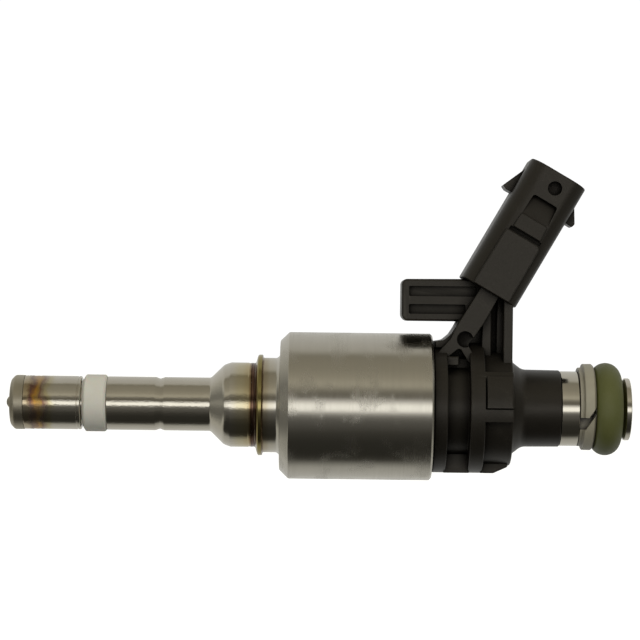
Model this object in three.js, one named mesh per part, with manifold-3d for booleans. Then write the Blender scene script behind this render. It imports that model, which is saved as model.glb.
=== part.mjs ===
// A direct-injection fuel injector with a slanted two-way plug socket.
// Millimetres. +X runs along the injector towards the fuel inlet and +Z towards the socket.
// The origin is on the injector's axis, in the plane of the solenoid housing's front shoulder.
import * as THREE from 'three';
import { mergeVertices } from 'three/addons/utils/BufferGeometryUtils.js';
import Module from 'manifold-3d';

const wasm = await Module();
wasm.setup();

// ---------------------------------------------------------------- driving dimensions

const ROUND = 32; // sides of the large turned pieces
const SMALL_ROUND = 24; // sides of the pieces inside
const FIT = 0.02; // space between two pieces that are pressed or welded together
const CUT_GAP = 0.3; // space around a piece that lies in a moulded channel

// nozzle, from the spray tip to the weld on the housing
const DOME_TIP = -38.55;
const TIP_FACE = -37.82;
const CAP_END = -35.9; // seam between the blasted tip cap and the nozzle tube
const CAP_RADIUS = 3.82;
const TUBE_RADIUS = 3.765;
const SEAT_BODY_END = -33.0; // inner end of the seat body, inside the tube
const SEAT_BODY_RADIUS = 3.1;
const GROOVE = { start: -27.85, end: -24.25, radius: 3.05 };
const SEAL = { start: -27.7, end: -24.3, radius: 4.01 };
const TURNED_MARK = { at: -16.85, halfWidth: 0.63, depth: 0.2 };
const CONE = { start: -9.75, end: -7.97, radius: 5.55 };
const WIDE_TUBE_RADIUS = 5.95;
const TUBE_END = -3.9;
const PASSAGE_RADIUS = 2.2; // fuel passage around the needle
const WIDE_PASSAGE_RADIUS = 2.4;
const PASSAGE_STEP = { narrow: -9.3, wide: -9.0 };
const TIP_CHAMFER = { width: 0.65, length: 0.6 };
const DOME_RADIUS = 0.9;

// valve: ball on a 45 degree seat
const BALL_RADIUS = 1.5;
const GUIDE_BORE_RADIUS = 1.54;
const CONE_MOUTH = -36.35;
const SAC_RADIUS = 0.45;
const SEAT_GAP = 0.02; // the closed ball stands this far off the cone
const SPRAY_HOLES = 6;
const SPRAY_HOLE_RADIUS = 0.11;
const NEEDLE_RADIUS = 0.95;
const NEEDLE_END = 10.2;
const BALL_FLAT = 1.14; // from the ball's centre to the flat that the needle is welded to
const SEAT_FLUTES = { count: 5, at: -35.2, circle: 1.45, radius: 0.35, length: 2.0 };
const GUIDE = { start: -32.2, end: -30.6, circle: 1.6, holeRadius: 0.32 };

// valve housing: flange, neck and the sleeve that the armature runs in
const FLANGE = { start: -3.45, face: -3.0, end: -2.42, radius: 7.1 };
const NECK_RADIUS = 6.66;
const NECK_ROOT = { start: -0.45, radius: 7.0 };
const SLEEVE = { inner: 4.25, outer: 5.0, end: 5.5 };
const ARMATURE_ROOM = -1.9; // floor of the wide bore below the armature

// solenoid housing
const HOUSING = { radius: 10.33, faceRadius: 9.1, chamfer: 1.27, end: 21.3, rear: 0.28 };
const FACE_RELIEF = { radius: 7.15, depth: 0.15 }; // step around the neck's root
const HOUSING_BORE = 9.15;
const HOUSING_WALL = 2.3;

// magnet circuit
const SPACER = { start: 5.53, end: 8.5 };
const ARMATURE = { start: 1.5, end: 7.0, radius: 4.18 };
const FLOW_HOLES = { circle: 2.75, radius: 0.6 };
const POLE = { start: 7.15, shoulder: 8.53, end: 19.5, nose: 4.2, bore: 1.95 };
const BOBBIN = { start: 2.6, end: 17.0, inner: 5.15, web: 5.8, flange: 8.95, wall: 0.9 };
const WINDING_RADIUS = 8.5;
const YOKE = { start: 17.35, end: 19.9, inner: 5.1, outer: 9.05 };

// armature free travel and needle stops
const COLLAR = { start: 7.06, end: 8.1, radius: 1.75 };
const LOWER_STOP = { start: -1.2, end: -0.2, radius: 1.9 };

// springs
const RETURN_SPRING = { start: 8.45, end: 16.3, mean: 1.38, wire: 0.3, turns: 8 };
const DAMPING_SPRING = { start: 0.02, end: 1.28, mean: 1.6, wire: 0.18, turns: 3 };
const ADJUSTING_TUBE = { start: 16.65, end: 25.0, outer: 1.88, inner: 0.9 };

// inlet tube and its seals
const INLET = { start: 19.55, radius: 4.25, bore: 1.93, wideBore: 2.1, wideFrom: 38.5 };
const COLLAR_FACE = 39.32;
const BACKUP_SEAT = { start: 41.8, end: 44.05, radius: 4.0, collar: 5.26 };
const O_RING_FLOOR = { radius: 2.95, end: 47.62 };
const LIP = { flank: 48.35, face: 49.15, radius: 4.38 };
const BACKUP = { start: 41.85, step: 42.4, end: 44.0, stepRadius: 5.53, radius: 6.09 };
const BACKUP_BORE = 4.35;
const BACKUP_DROP = 0.27; // the loose ring hangs off centre by this much
const SCARF = [[41.5, -1.0], [41.5, -2.8], [42.7, -2.8], [44.2, -0.3], [44.2, 0.75], [43.0, -1.0]];
const O_RING = { at: 45.8, mean: 4.38, section: 2.13, left: 44.1, inner: 3.0 };
const FILTER = { start: 40.2, end: 48.3, outer: 2.03, mesh: 1.35, meshEnd: 0.75, wall: 0.12 };
const FILTER_RIM = { rim: 1.2, foot: 0.8, footBore: 1.0, rib: 0.4, ribAt: 1.75 };

// moulded body behind the housing
const PLUG_START = 20.2; // moulded plug inside the housing's open end
const PLUG_RADIUS = 9.05;
const RING = { front: 21.5, frontEnd: 23.24, rear: 26.37, rearEnd: 28.4, radius: 9.22 };
const CORE_RADIUS = 6.95;
const REAR = { end: 32.4, radius: 8.15 };
const EAR = { start: 28.2, inner: 7.4, outer: 9.17, bottom: -1.65, top: 5.2 };
const EAR_PAD = { start: 28.6, bottom: 0.28, top: 4.6, outer: 9.42 }; // raised part of an ear
const MOULDED_NECK = { start: 34.0, end: 39.25, radius: 5.42, fillet: 1.3 };
const MOULDED_BORE = 4.32;
const RIB_WIDTH = 2.5; // half the width of the ribs below the rings
const RIB_TAIL = [[30.0, -9.12], [32.0, -8.15], [32.0, -7], [28.2, -7]];
const BRIDGE = { halfWidth: 4, bottom: 4.5, top: 7.1 };
const STEP = { left: 23.0, right: 24.85, halfWidth: 5.3, bottom: 5.95, top: 7.25 };
const CONDUIT = { left: 28.1, right: 30.9, halfWidth: 3.1, bottom: 6, top: 15.6 };
const CONDUIT_RIBS = { halfWidth: 3.5, edges: [[28.1, 29.45], [30.2, 30.9]] };

// slanted plug socket: a frame of its own, s along the socket and t across it
const SOCKET_BASE = new THREE.Vector3(28.96, 0, 16.23);
const SOCKET_TILT = THREE.MathUtils.degToRad(60);
const SOCKET = { length: 19.2, halfWidth: 4.25, halfDepth: 5.8, corner: 2.4 };
const CAVITY = { floor: 4.5, halfWidth: 3.05, halfDepth: 4.65, corner: 1.4 };
const PANEL = { length: 9.0, upper: 2.55, lower: -3.05, halfDepth: 6.1 };
const WING = { left: 16.85, right: 28.3, bottom: 12.1, top: 17.83, halfDepth: 3.5, corner: 0.65 };
const WING_RISE = 0.12; // its top edge climbs by this much towards the socket
const POCKET_WEB = 2.2; // half the thickness of the wall between the pockets of the two faces
const POCKETS = [[17.88, 25.8, 13.11, 14.47], [17.88, 27.3, 15.58, 17.0]];
const STRUT_INNER = 3.2;
const STRUT_OUTER = 5.0;
const SLANTED_STRUT = [
  [28.2, 17.4], [24.9, 11.9], [23.8, 9.67], [21.6, 7.35], [21.6, 6.5], [22.6, 6.6],
  [24.9, 8.35], [26.25, 6.3], [27.1, 7.0], [26.2, 8.7], [28.1, 11.7], [30.6, 16.4],
];
const STRUT_WEB = [
  [21.5, 8.4], [21.5, 9.4], [22.9, 9.5], [23.7, 10.2], [24.4, 11.3], [24.9, 12.3], [26.4, 12.3],
  [24.6, 8.4],
]; // thin wall between the two slanted struts
const UPRIGHT_STRUT = [[31.0, 5.5], [32.3, 5.5], [32.3, 14.6], [31.6, 16.2], [31.0, 16.2]];
const RAMP = { foot: 13.8, halfWidth: 2, highStart: 18.5, lowStart: 17.2 };
const HIGH_RAMP_EDGE = [[13.97, 5.74]];
const LOW_RAMP_EDGE = [[13.9, -5.5], [14.43, -5.65], [16.38, -4.45]];

// plug terminals
const TERMINAL = { at: 1.9, width: 1.2, thickness: 0.5, start: 17.3, height: 5.9, tip: 11.2 };

// ---------------------------------------------------------------- shape helpers

const x = (value) => new THREE.Vector3(value, 0, 0);

// A point at a given radius around the axis.
function onCircle(along, radius, turn) {
  return new THREE.Vector3(along, radius * Math.sin(turn), radius * Math.cos(turn));
}

function bare(geometry) {
  geometry.deleteAttribute('normal');
  geometry.deleteAttribute('uv');
  return mergeVertices(geometry, 1e-4);
}

// A turned piece from an outline of [x, radius] points, which ends on the axis or on itself.
function turned(outline, sides = ROUND) {
  const points = outline.map(([along, radius]) => new THREE.Vector2(radius, along));
  if (THREE.ShapeUtils.isClockWise(points)) points.reverse();
  const onAxis = points[0].x === 0 && points.at(-1).x === 0;
  if (!onAxis) points.push(points[0].clone());
  return bare(new THREE.LatheGeometry(points, sides).rotateZ(-Math.PI / 2));
}

// A plain ring between two radii.
function ring(start, end, inner, outer, sides = ROUND) {
  return turned([[start, inner], [start, outer], [end, outer], [end, inner]], sides);
}

// A plate with an outline of [x, z] points, between two depths along Y.
function plate(outline, near, far) {
  const shape = new THREE.Shape(outline.map(([along, up]) => new THREE.Vector2(along, up)));
  const geometry = new THREE.ExtrudeGeometry(shape, { depth: far - near, bevelEnabled: false });
  return bare(geometry.rotateX(Math.PI / 2).translate(0, far, 0));
}

function block(left, right, near, far, bottom, top) {
  return plate([[left, bottom], [right, bottom], [right, top], [left, top]], near, far);
}

function roundedRectangle(halfWidth, halfDepth, corner) {
  const shape = new THREE.Shape();
  const quarter = Math.PI / 2;
  const corners = [[1, 1, 0], [-1, 1, 1], [-1, -1, 2], [1, -1, 3]];
  for (const [side, depth, turn] of corners) {
    const cx = side * (halfWidth - corner);
    const cy = depth * (halfDepth - corner);
    shape.absarc(cx, cy, corner, turn * quarter, (turn + 1) * quarter);
  }
  return shape;
}

// Places a geometry drawn in the socket's own frame, with its z along the socket.
function inSocketFrame(geometry) {
  const along = new THREE.Vector3(Math.cos(SOCKET_TILT), 0, Math.sin(SOCKET_TILT));
  const across = new THREE.Vector3(-Math.sin(SOCKET_TILT), 0, Math.cos(SOCKET_TILT));
  const third = new THREE.Vector3().crossVectors(along, across);
  const frame = new THREE.Matrix4().makeBasis(across, third, along).setPosition(SOCKET_BASE);
  return geometry.applyMatrix4(frame);
}

function socketPrism(shape, from, to) {
  const options = { depth: to - from, bevelEnabled: false, curveSegments: 5 };
  return bare(inSocketFrame(new THREE.ExtrudeGeometry(shape, options).translate(0, 0, from)));
}

// The [x, z] place of a point that lies s along the socket and t across it.
function socketPoint(s, t) {
  const cos = Math.cos(SOCKET_TILT);
  const sin = Math.sin(SOCKET_TILT);
  return [SOCKET_BASE.x + s * cos - t * sin, SOCKET_BASE.z + s * sin + t * cos];
}

// A flat strip of even thickness that follows a bent line of [x, z] points.
function bentStrip(line, thickness, near, far) {
  const points = line.map(([along, up]) => new THREE.Vector2(along, up));
  const side = (sign) => points.map((point, i) => {
    const before = point.clone().sub(points[Math.max(i - 1, 0)]).normalize();
    const after = points[Math.min(i + 1, points.length - 1)].clone().sub(point).normalize();
    const way = before.clone().add(after).normalize();
    const lead = i > 0 ? before : after;
    const stretch = thickness / 2 / way.dot(lead);
    return [point.x - sign * way.y * stretch, point.y + sign * way.x * stretch];
  });
  return plate([...side(-1), ...side(1).reverse()], near, far);
}

// A round bar between two points on a slanted line, for drilling.
function drill(centre, direction, radius, length, sides = 8) {
  const bar = new THREE.CylinderGeometry(radius, radius, length, sides);
  const turn = new THREE.Quaternion().setFromUnitVectors(new THREE.Vector3(0, 1, 0), direction);
  return bare(bar.applyQuaternion(turn).translate(centre.x, centre.y, centre.z));
}

class Helix extends THREE.Curve {
  constructor({ start, end, mean, turns }) {
    super();
    Object.assign(this, { start, end, mean, turns });
  }
  getPoint(share, target = new THREE.Vector3()) {
    const angle = share * this.turns * 2 * Math.PI;
    const along = this.start + share * (this.end - this.start);
    return target.set(along, this.mean * Math.sin(angle), this.mean * Math.cos(angle));
  }
}

function spring(size) {
  const section = new THREE.Shape().absarc(0, 0, size.wire, 0, 2 * Math.PI);
  const options = {
    steps: size.turns * 11, extrudePath: new Helix(size), curveSegments: 3, bevelEnabled: false,
  };
  return bare(new THREE.ExtrudeGeometry(section, options));
}

function solid(geometry) {
  const vertProperties = new Float32Array(geometry.attributes.position.array);
  const triVerts = new Uint32Array(geometry.index.array);
  return new wasm.Manifold(new wasm.Mesh({ numProp: 3, vertProperties, triVerts }));
}

function geometryOf(manifold) {
  const mesh = manifold.getMesh();
  const geometry = new THREE.BufferGeometry();
  geometry.setAttribute('position', new THREE.BufferAttribute(mesh.vertProperties, 3));
  geometry.setIndex(new THREE.BufferAttribute(mesh.triVerts, 1));
  return geometry;
}

// The given pieces joined into one, with the cutters then taken away.
function shaped(pieces, cutters = []) {
  const [first, ...others] = pieces.map(solid);
  const joined = others.reduce((whole, piece) => whole.add(piece), first);
  return geometryOf(cutters.map(solid).reduce((whole, cutter) => whole.subtract(cutter), joined));
}

function around(count, make) {
  return Array.from({ length: count }, (_, i) => make((i / count) * 2 * Math.PI));
}

// ---------------------------------------------------------------- materials

function material(colour, roughness, metalness) {
  return new THREE.MeshStandardMaterial({ color: colour, roughness, metalness });
}

const polishedSteel = () => material(0xb9b4a6, 0.22, 1);
const satinSteel = () => material(0xaaa69a, 0.38, 1);
const blastedSteel = () => material(0x9a8f7c, 0.6, 1);
const hardSteel = () => material(0x8d8f92, 0.25, 1);
const springSteel = () => material(0x7d7a74, 0.35, 1);
const magnetIron = () => material(0x8a8780, 0.45, 1);
const blackPlastic = () => material(0x23211e, 0.5, 0);
const tinnedCopper = () => material(0xc9c3b0, 0.3, 1);

// ---------------------------------------------------------------- nozzle and valve

// Seat body: blasted tip cap with a domed tip, a cone for the ball and a spigot in the tube.
function valveSeat() {
  const domeRise = TIP_FACE - DOME_TIP;
  const dome = [15, 45, 75].map((degrees) => {
    const angle = THREE.MathUtils.degToRad(degrees);
    return [TIP_FACE - domeRise * Math.cos(angle), DOME_RADIUS * Math.sin(angle)];
  });
  const sacEnd = DOME_TIP + 0.5;
  const coneFoot = CONE_MOUTH - (GUIDE_BORE_RADIUS - SAC_RADIUS);
  const outline = [
    [DOME_TIP, 0], ...dome, [TIP_FACE, DOME_RADIUS],
    [TIP_FACE, CAP_RADIUS - TIP_CHAMFER.width], [TIP_FACE + TIP_CHAMFER.length, CAP_RADIUS],
    [CAP_END - FIT, CAP_RADIUS], [CAP_END - FIT, SEAT_BODY_RADIUS],
    [SEAT_BODY_END, SEAT_BODY_RADIUS], [SEAT_BODY_END, PASSAGE_RADIUS],
    [SEAT_BODY_END - 0.9, PASSAGE_RADIUS], [SEAT_BODY_END - 1.4, GUIDE_BORE_RADIUS],
    [CONE_MOUTH, GUIDE_BORE_RADIUS], [coneFoot, SAC_RADIUS], [sacEnd + 0.3, SAC_RADIUS],
    [sacEnd, SAC_RADIUS / 2], [sacEnd, 0],
  ];
  const holes = around(SPRAY_HOLES, (turn) => {
    const way = new THREE.Vector3(-1, 0.75 * Math.sin(turn), 0.75 * Math.cos(turn)).normalize();
    return drill(x(sacEnd + 0.35).addScaledVector(way, 0.6), way, SPRAY_HOLE_RADIUS, 1.1);
  });
  const { count, at, circle, radius, length } = SEAT_FLUTES;
  const flutes = around(count, (turn) => drill(onCircle(at, circle, turn), x(1), radius, length));
  return shaped([turned(outline)], [...holes, ...flutes]);
}

// Long nozzle tube with the seal groove, a turned mark and the cone up to the wide end.
function nozzleTube() {
  const front = CAP_END + FIT;
  const shoulder = GROOVE.start - 0.4;
  const mark = TURNED_MARK;
  const outline = [
    [front, SEAT_BODY_RADIUS + 0.05], [front, TUBE_RADIUS], [shoulder, TUBE_RADIUS],
    [GROOVE.start, GROOVE.radius + 0.07], [GROOVE.start, GROOVE.radius],
    [GROOVE.end, GROOVE.radius], [GROOVE.end, TUBE_RADIUS],
    [mark.at - mark.halfWidth, TUBE_RADIUS], [mark.at, TUBE_RADIUS - mark.depth],
    [mark.at + mark.halfWidth, TUBE_RADIUS], [CONE.start, TUBE_RADIUS],
    [CONE.end, CONE.radius], [CONE.end + 0.67, CONE.radius + 0.28], [CONE.end + 1.07, WIDE_TUBE_RADIUS],
    [TUBE_END, WIDE_TUBE_RADIUS], [TUBE_END, WIDE_PASSAGE_RADIUS],
    [PASSAGE_STEP.wide, WIDE_PASSAGE_RADIUS], [PASSAGE_STEP.narrow, PASSAGE_RADIUS],
    [SEAT_BODY_END + 0.1, PASSAGE_RADIUS], [SEAT_BODY_END + 0.1, SEAT_BODY_RADIUS + 0.05],
  ];
  return turned(outline);
}

// Slip ring that seals the nozzle in the cylinder head.
function combustionSeal() {
  const bore = GROOVE.radius + 0.03;
  return turned([
    [SEAL.start, bore], [SEAL.start, SEAL.radius - 0.75], [SEAL.start + 0.43, SEAL.radius],
    [SEAL.end - 0.25, SEAL.radius], [SEAL.end, SEAL.radius - 0.3], [SEAL.end, bore],
  ]);
}

// Guide disc near the ball: the needle slides in its hole and fuel passes through four more.
function needleGuide() {
  const { start, end, circle, holeRadius } = GUIDE;
  const disc = ring(start, end, NEEDLE_RADIUS + 0.06, PASSAGE_RADIUS - 0.05, SMALL_ROUND);
  const middle = (start + end) / 2;
  const length = end - start + 0.4;
  const holes = around(4, (turn) => drill(onCircle(middle, circle, turn), x(1), holeRadius, length));
  return shaped([disc], holes);
}

const coneLine = CONE_MOUTH - GUIDE_BORE_RADIUS; // where the seat's cone would meet the axis
const ballCentre = coneLine + (BALL_RADIUS + SEAT_GAP) * Math.SQRT2;
const ballFlat = ballCentre + BALL_FLAT;

function valveBall() {
  const flatAngle = Math.acos((ballFlat - ballCentre) / BALL_RADIUS);
  const steps = 7;
  const outline = Array.from({ length: steps + 1 }, (_, i) => {
    const angle = Math.PI - (i / steps) * (Math.PI - flatAngle);
    const radius = i === 0 ? 0 : BALL_RADIUS * Math.sin(angle);
    return [ballCentre + BALL_RADIUS * Math.cos(angle), radius];
  });
  return turned([...outline, [ballFlat, 0]], SMALL_ROUND);
}

function needleRod() {
  const start = ballFlat + FIT;
  return turned([
    [start, 0], [start, NEEDLE_RADIUS - 0.1], [start + 0.4, NEEDLE_RADIUS],
    [NEEDLE_END - 0.3, NEEDLE_RADIUS], [NEEDLE_END, NEEDLE_RADIUS - 0.3], [NEEDLE_END, 0],
  ], SMALL_ROUND);
}

// ---------------------------------------------------------------- housing and magnet circuit

// Flange, neck and thin sleeve in one turned piece, welded to the wide end of the nozzle tube.
function valveHousing() {
  return turned([
    [TUBE_END + FIT, WIDE_PASSAGE_RADIUS], [TUBE_END + FIT, WIDE_TUBE_RADIUS],
    [FLANGE.start, WIDE_TUBE_RADIUS], [FLANGE.face, FLANGE.radius - 0.1],
    [FLANGE.face + 0.1, FLANGE.radius], [FLANGE.end, FLANGE.radius],
    [FLANGE.end + 0.06, NECK_RADIUS], [NECK_ROOT.start, NECK_RADIUS],
    [-FIT, NECK_ROOT.radius], [-FIT, SLEEVE.outer],
    [SLEEVE.end, SLEEVE.outer], [SLEEVE.end, SLEEVE.inner], [ARMATURE_ROOM, SLEEVE.inner],
    [ARMATURE_ROOM, WIDE_PASSAGE_RADIUS],
  ]);
}

function solenoidHousing() {
  const { radius, faceRadius, chamfer, end, rear } = HOUSING;
  return turned([
    [FACE_RELIEF.depth, SLEEVE.outer + 0.05], [FACE_RELIEF.depth, FACE_RELIEF.radius],
    [0, FACE_RELIEF.radius], [0, faceRadius], [chamfer, radius], [end - rear, radius],
    [end, radius - rear], [end, HOUSING_BORE], [HOUSING_WALL, HOUSING_BORE],
    [HOUSING_WALL, SLEEVE.outer + 0.05],
  ]);
}

function armature() {
  const body = ring(ARMATURE.start, ARMATURE.end, NEEDLE_RADIUS + 0.08, ARMATURE.radius, SMALL_ROUND);
  const middle = (ARMATURE.start + ARMATURE.end) / 2;
  const flowHoles = around(4, (turn) => {
    const centre = onCircle(middle, FLOW_HOLES.circle, turn + Math.PI / 4);
    return drill(centre, x(1), FLOW_HOLES.radius, 8, 10);
  });
  return shaped([body], flowHoles);
}

function poleCore() {
  const { start, shoulder, end, nose, bore } = POLE;
  return turned([
    [start, bore], [start, nose], [shoulder, nose], [shoulder, SLEEVE.outer],
    [end, SLEEVE.outer], [end, bore],
  ]);
}

function coilBobbin() {
  const { start, end, inner, web, flange, wall } = BOBBIN;
  return turned([
    [start, inner], [start, flange], [start + wall, flange], [start + wall, web],
    [end - wall, web], [end - wall, flange], [end, flange], [end, inner],
  ]);
}

function coilWinding() {
  const { start, end, web, wall } = BOBBIN;
  return ring(start + wall + 0.05, end - wall - 0.05, web + 0.05, WINDING_RADIUS);
}

// Washer that closes the magnet circuit, with a window for the two terminals.
function yokeCover() {
  const reach = TERMINAL.at + TERMINAL.width / 2 + CUT_GAP;
  const half = TERMINAL.thickness / 2 + CUT_GAP;
  const { height } = TERMINAL;
  const window = block(YOKE.start - 1, YOKE.end + 1, -reach, reach, height - half, height + half);
  return shaped([ring(YOKE.start, YOKE.end, YOKE.inner, YOKE.outer)], [window]);
}

// ---------------------------------------------------------------- terminals and moulding

function terminalLine() {
  const { start, height, tip } = TERMINAL;
  return [
    [start, height], [SOCKET_BASE.x, height], [SOCKET_BASE.x, SOCKET_BASE.z],
    socketPoint(tip, 0),
  ];
}

function terminal(side) {
  const { at, width, thickness } = TERMINAL;
  return bentStrip(terminalLine(), thickness, side * at - width / 2, side * at + width / 2);
}

// The channel in the moulding that a terminal runs in.
function terminalChannel(side) {
  const reach = TERMINAL.width / 2 + CUT_GAP;
  const line = terminalLine();
  line[0][0] = PLUG_START - 1;
  const thickness = TERMINAL.thickness + 2 * CUT_GAP;
  return bentStrip(line, thickness, side * TERMINAL.at - reach, side * TERMINAL.at + reach);
}

// Everything round in the moulding: the plug in the housing, two rings and the long neck.
function mouldedRounds() {
  const { start, end, radius, fillet } = MOULDED_NECK;
  const curve = [0, 30, 60, 90].map((degrees) => {
    const angle = THREE.MathUtils.degToRad(degrees);
    return [start - fillet * Math.sin(angle), radius + fillet * (1 - Math.cos(angle))];
  }).reverse();
  return turned([
    [PLUG_START, MOULDED_BORE], [PLUG_START, PLUG_RADIUS], [RING.front, PLUG_RADIUS],
    [RING.front, RING.radius], [RING.frontEnd, RING.radius], [RING.frontEnd, CORE_RADIUS],
    [RING.rear, CORE_RADIUS], [RING.rear, RING.radius], [RING.rearEnd, RING.radius],
    [RING.rearEnd, REAR.radius], [REAR.end, REAR.radius], [REAR.end, radius + fillet],
    ...curve, [end, radius], [end, MOULDED_BORE],
  ]);
}

// Round-faced ears on both sides of the rear cylinder, each with a raised pad.
function sideEars() {
  return [{ ...EAR_PAD, inner: EAR.inner }, EAR].flatMap(({ start, inner, outer, bottom, top }) => {
    const rim = solid(ring(start, REAR.end - FIT, inner, outer));
    const slab = solid(block(start - 1, REAR.end + 1, -outer - 1, outer + 1, bottom, top));
    return rim.intersect(slab).decompose().map(geometryOf);
  });
}

// Flat ribs below the rings, the bridge above them that carries the terminals, and its step.
function mouldedRibs() {
  const foot = RING.radius - 0.1;
  const front = RING.frontEnd - 0.2;
  const back = RING.rear + 0.2;
  const { halfWidth, bottom, top } = BRIDGE;
  return [
    block(front, back, -RIB_WIDTH, RIB_WIDTH, -foot, 1 - CORE_RADIUS),
    plate([[RING.rearEnd - 0.2, -foot], ...RIB_TAIL], -RIB_WIDTH, RIB_WIDTH),
    block(front, back, -halfWidth, halfWidth, bottom, top),
    block(STEP.left, STEP.right, -STEP.halfWidth, STEP.halfWidth, STEP.bottom, STEP.top),
  ];
}

// Struts on both sides that carry the socket: a slanted one with two feet, and an upright one.
// A wall joins the slanted pair.
function struts() {
  const pairs = [-1, 1].flatMap((side) => {
    const depths = [side * STRUT_INNER, side * STRUT_OUTER].sort((a, b) => a - b);
    return [plate(SLANTED_STRUT, ...depths), plate(UPRIGHT_STRUT, ...depths)];
  });
  return [...pairs, plate(STRUT_WEB, -STRUT_INNER - FIT, STRUT_INNER + FIT)];
}

// Upright box that the terminals rise in, with two ribs on each side.
function conduit() {
  const { left, right, halfWidth, bottom, top } = CONDUIT;
  const ribs = CONDUIT_RIBS.edges.map(([from, to]) => (
    block(from, to, -CONDUIT_RIBS.halfWidth, CONDUIT_RIBS.halfWidth, bottom, top)
  ));
  return [block(left, right, -halfWidth, halfWidth, bottom, top), ...ribs];
}

// Flat handle beside the socket, with two long pockets in each face.
function wing() {
  const { left, right, bottom, top, halfDepth, corner } = WING;
  const outline = [
    [left + corner, bottom], [right, bottom], [right, top + WING_RISE], [left + corner, top],
    [left + 0.2, top - 0.2], [left, top - corner], [left, bottom + corner],
    [left + 0.2, bottom + 0.2],
  ];
  return plate(outline, -halfDepth, halfDepth);
}

function wingPockets() {
  return [-1, 1].flatMap((side) => {
    const depths = [side * POCKET_WEB, side * (WING.halfDepth + 1)].sort((a, b) => a - b);
    return POCKETS.map(([left, right, low, high]) => block(left, right, ...depths, low, high));
  });
}

function socketBody() {
  const { length, halfWidth, halfDepth, corner } = SOCKET;
  const panel = [
    socketPoint(0.05, PANEL.upper), socketPoint(0.05, PANEL.lower),
    socketPoint(PANEL.length, PANEL.lower), socketPoint(PANEL.length, PANEL.upper),
  ];
  return [
    socketPrism(roundedRectangle(halfWidth, halfDepth, corner), 0, length),
    plate(panel, -PANEL.halfDepth, PANEL.halfDepth),
  ];
}

// Ramps that the plug's latches snap over.
function latchRamps() {
  const wall = SOCKET.halfWidth - 0.4;
  const { foot, halfWidth, highStart, lowStart } = RAMP;
  const high = [[highStart, wall], ...HIGH_RAMP_EDGE, [foot, wall]];
  const low = [[lowStart, -wall], [foot + 0.1, -wall], ...LOW_RAMP_EDGE];
  return [high, low].map((outline) => {
    const corners = outline.map(([s, t]) => socketPoint(s, t));
    return plate(corners, -halfWidth, halfWidth);
  });
}

function connectorOvermold() {
  const { floor, halfWidth, halfDepth, corner } = CAVITY;
  const cavity = socketPrism(roundedRectangle(halfWidth, halfDepth, corner), floor, SOCKET.length + 1);
  return shaped(
    [
      mouldedRounds(), ...sideEars(), ...mouldedRibs(), ...conduit(), ...struts(), wing(),
      ...socketBody(), ...latchRamps(),
    ],
    [cavity, ...wingPockets(), terminalChannel(-1), terminalChannel(1)],
  );
}

// ---------------------------------------------------------------- fuel inlet

function inletTube() {
  const { start, radius, bore, wideBore, wideFrom } = INLET;
  const { start: seatStart, end: seatEnd, radius: seatRadius, collar } = BACKUP_SEAT;
  return turned([
    [start, bore], [start, radius], [COLLAR_FACE, radius], [COLLAR_FACE, collar],
    [seatStart, collar], [seatStart, seatRadius], [seatEnd, seatRadius],
    [seatEnd, O_RING_FLOOR.radius], [O_RING_FLOOR.end, O_RING_FLOOR.radius],
    [LIP.flank, LIP.radius - 0.08], [LIP.flank + 0.1, LIP.radius], [LIP.face, LIP.radius],
    [LIP.face, wideBore + 0.6], [LIP.face - 0.6, wideBore], [wideFrom, wideBore],
    [wideFrom - 0.2, bore],
  ]);
}

// Split backup ring with a stepped scarf cut.
function backupRing() {
  const { start, step, end, stepRadius, radius } = BACKUP;
  const body = turned([
    [start, BACKUP_BORE], [start, stepRadius], [step, stepRadius], [step + 0.1, radius],
    [end - 0.25, radius], [end, radius - 0.3], [end, BACKUP_BORE],
  ]);
  return shaped([body.translate(0, 0, BACKUP_DROP)], [plate(SCARF, -9, 0)]);
}

// O-ring pressed flat against the backup ring and the groove floor.
function inletORing() {
  const { at, mean, section, left, inner } = O_RING;
  const outline = around(16, (angle) => [
    Math.max(left, at + section * Math.sin(angle)),
    Math.max(inner, mean + section * Math.cos(angle)),
  ]);
  return turned(outline);
}

function filterFrame() {
  const { start, end, outer, mesh } = FILTER;
  const { rim: rimWidth, foot: footWidth, footBore, rib: side, ribAt } = FILTER_RIM;
  const rim = ring(end - rimWidth, end, mesh, outer, SMALL_ROUND);
  const foot = ring(start, start + footWidth, footBore, outer, SMALL_ROUND);
  const ribs = around(4, (turn) => {
    const rib = new THREE.BoxGeometry(end - start - side, side, side);
    return bare(rib.translate((start + end) / 2, 0, ribAt).rotateX(turn));
  });
  return shaped([rim, foot, ...ribs]);
}

function filterMesh() {
  const { start, end, mesh, meshEnd, wall } = FILTER;
  const open = end - 1.0;
  return turned([
    [start + 0.1, 0], [start + 0.1, meshEnd], [open, mesh - 0.05], [open, mesh - 0.05 - wall],
    [start + 0.1 + wall, meshEnd - wall], [start + 0.1 + wall, 0],
  ], SMALL_ROUND);
}

// ---------------------------------------------------------------- the assembly

const injector = new THREE.Group();

function addPiece(name, geometry, look) {
  const mesh = new THREE.Mesh(geometry, look);
  mesh.name = name;
  injector.add(mesh);
}

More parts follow.
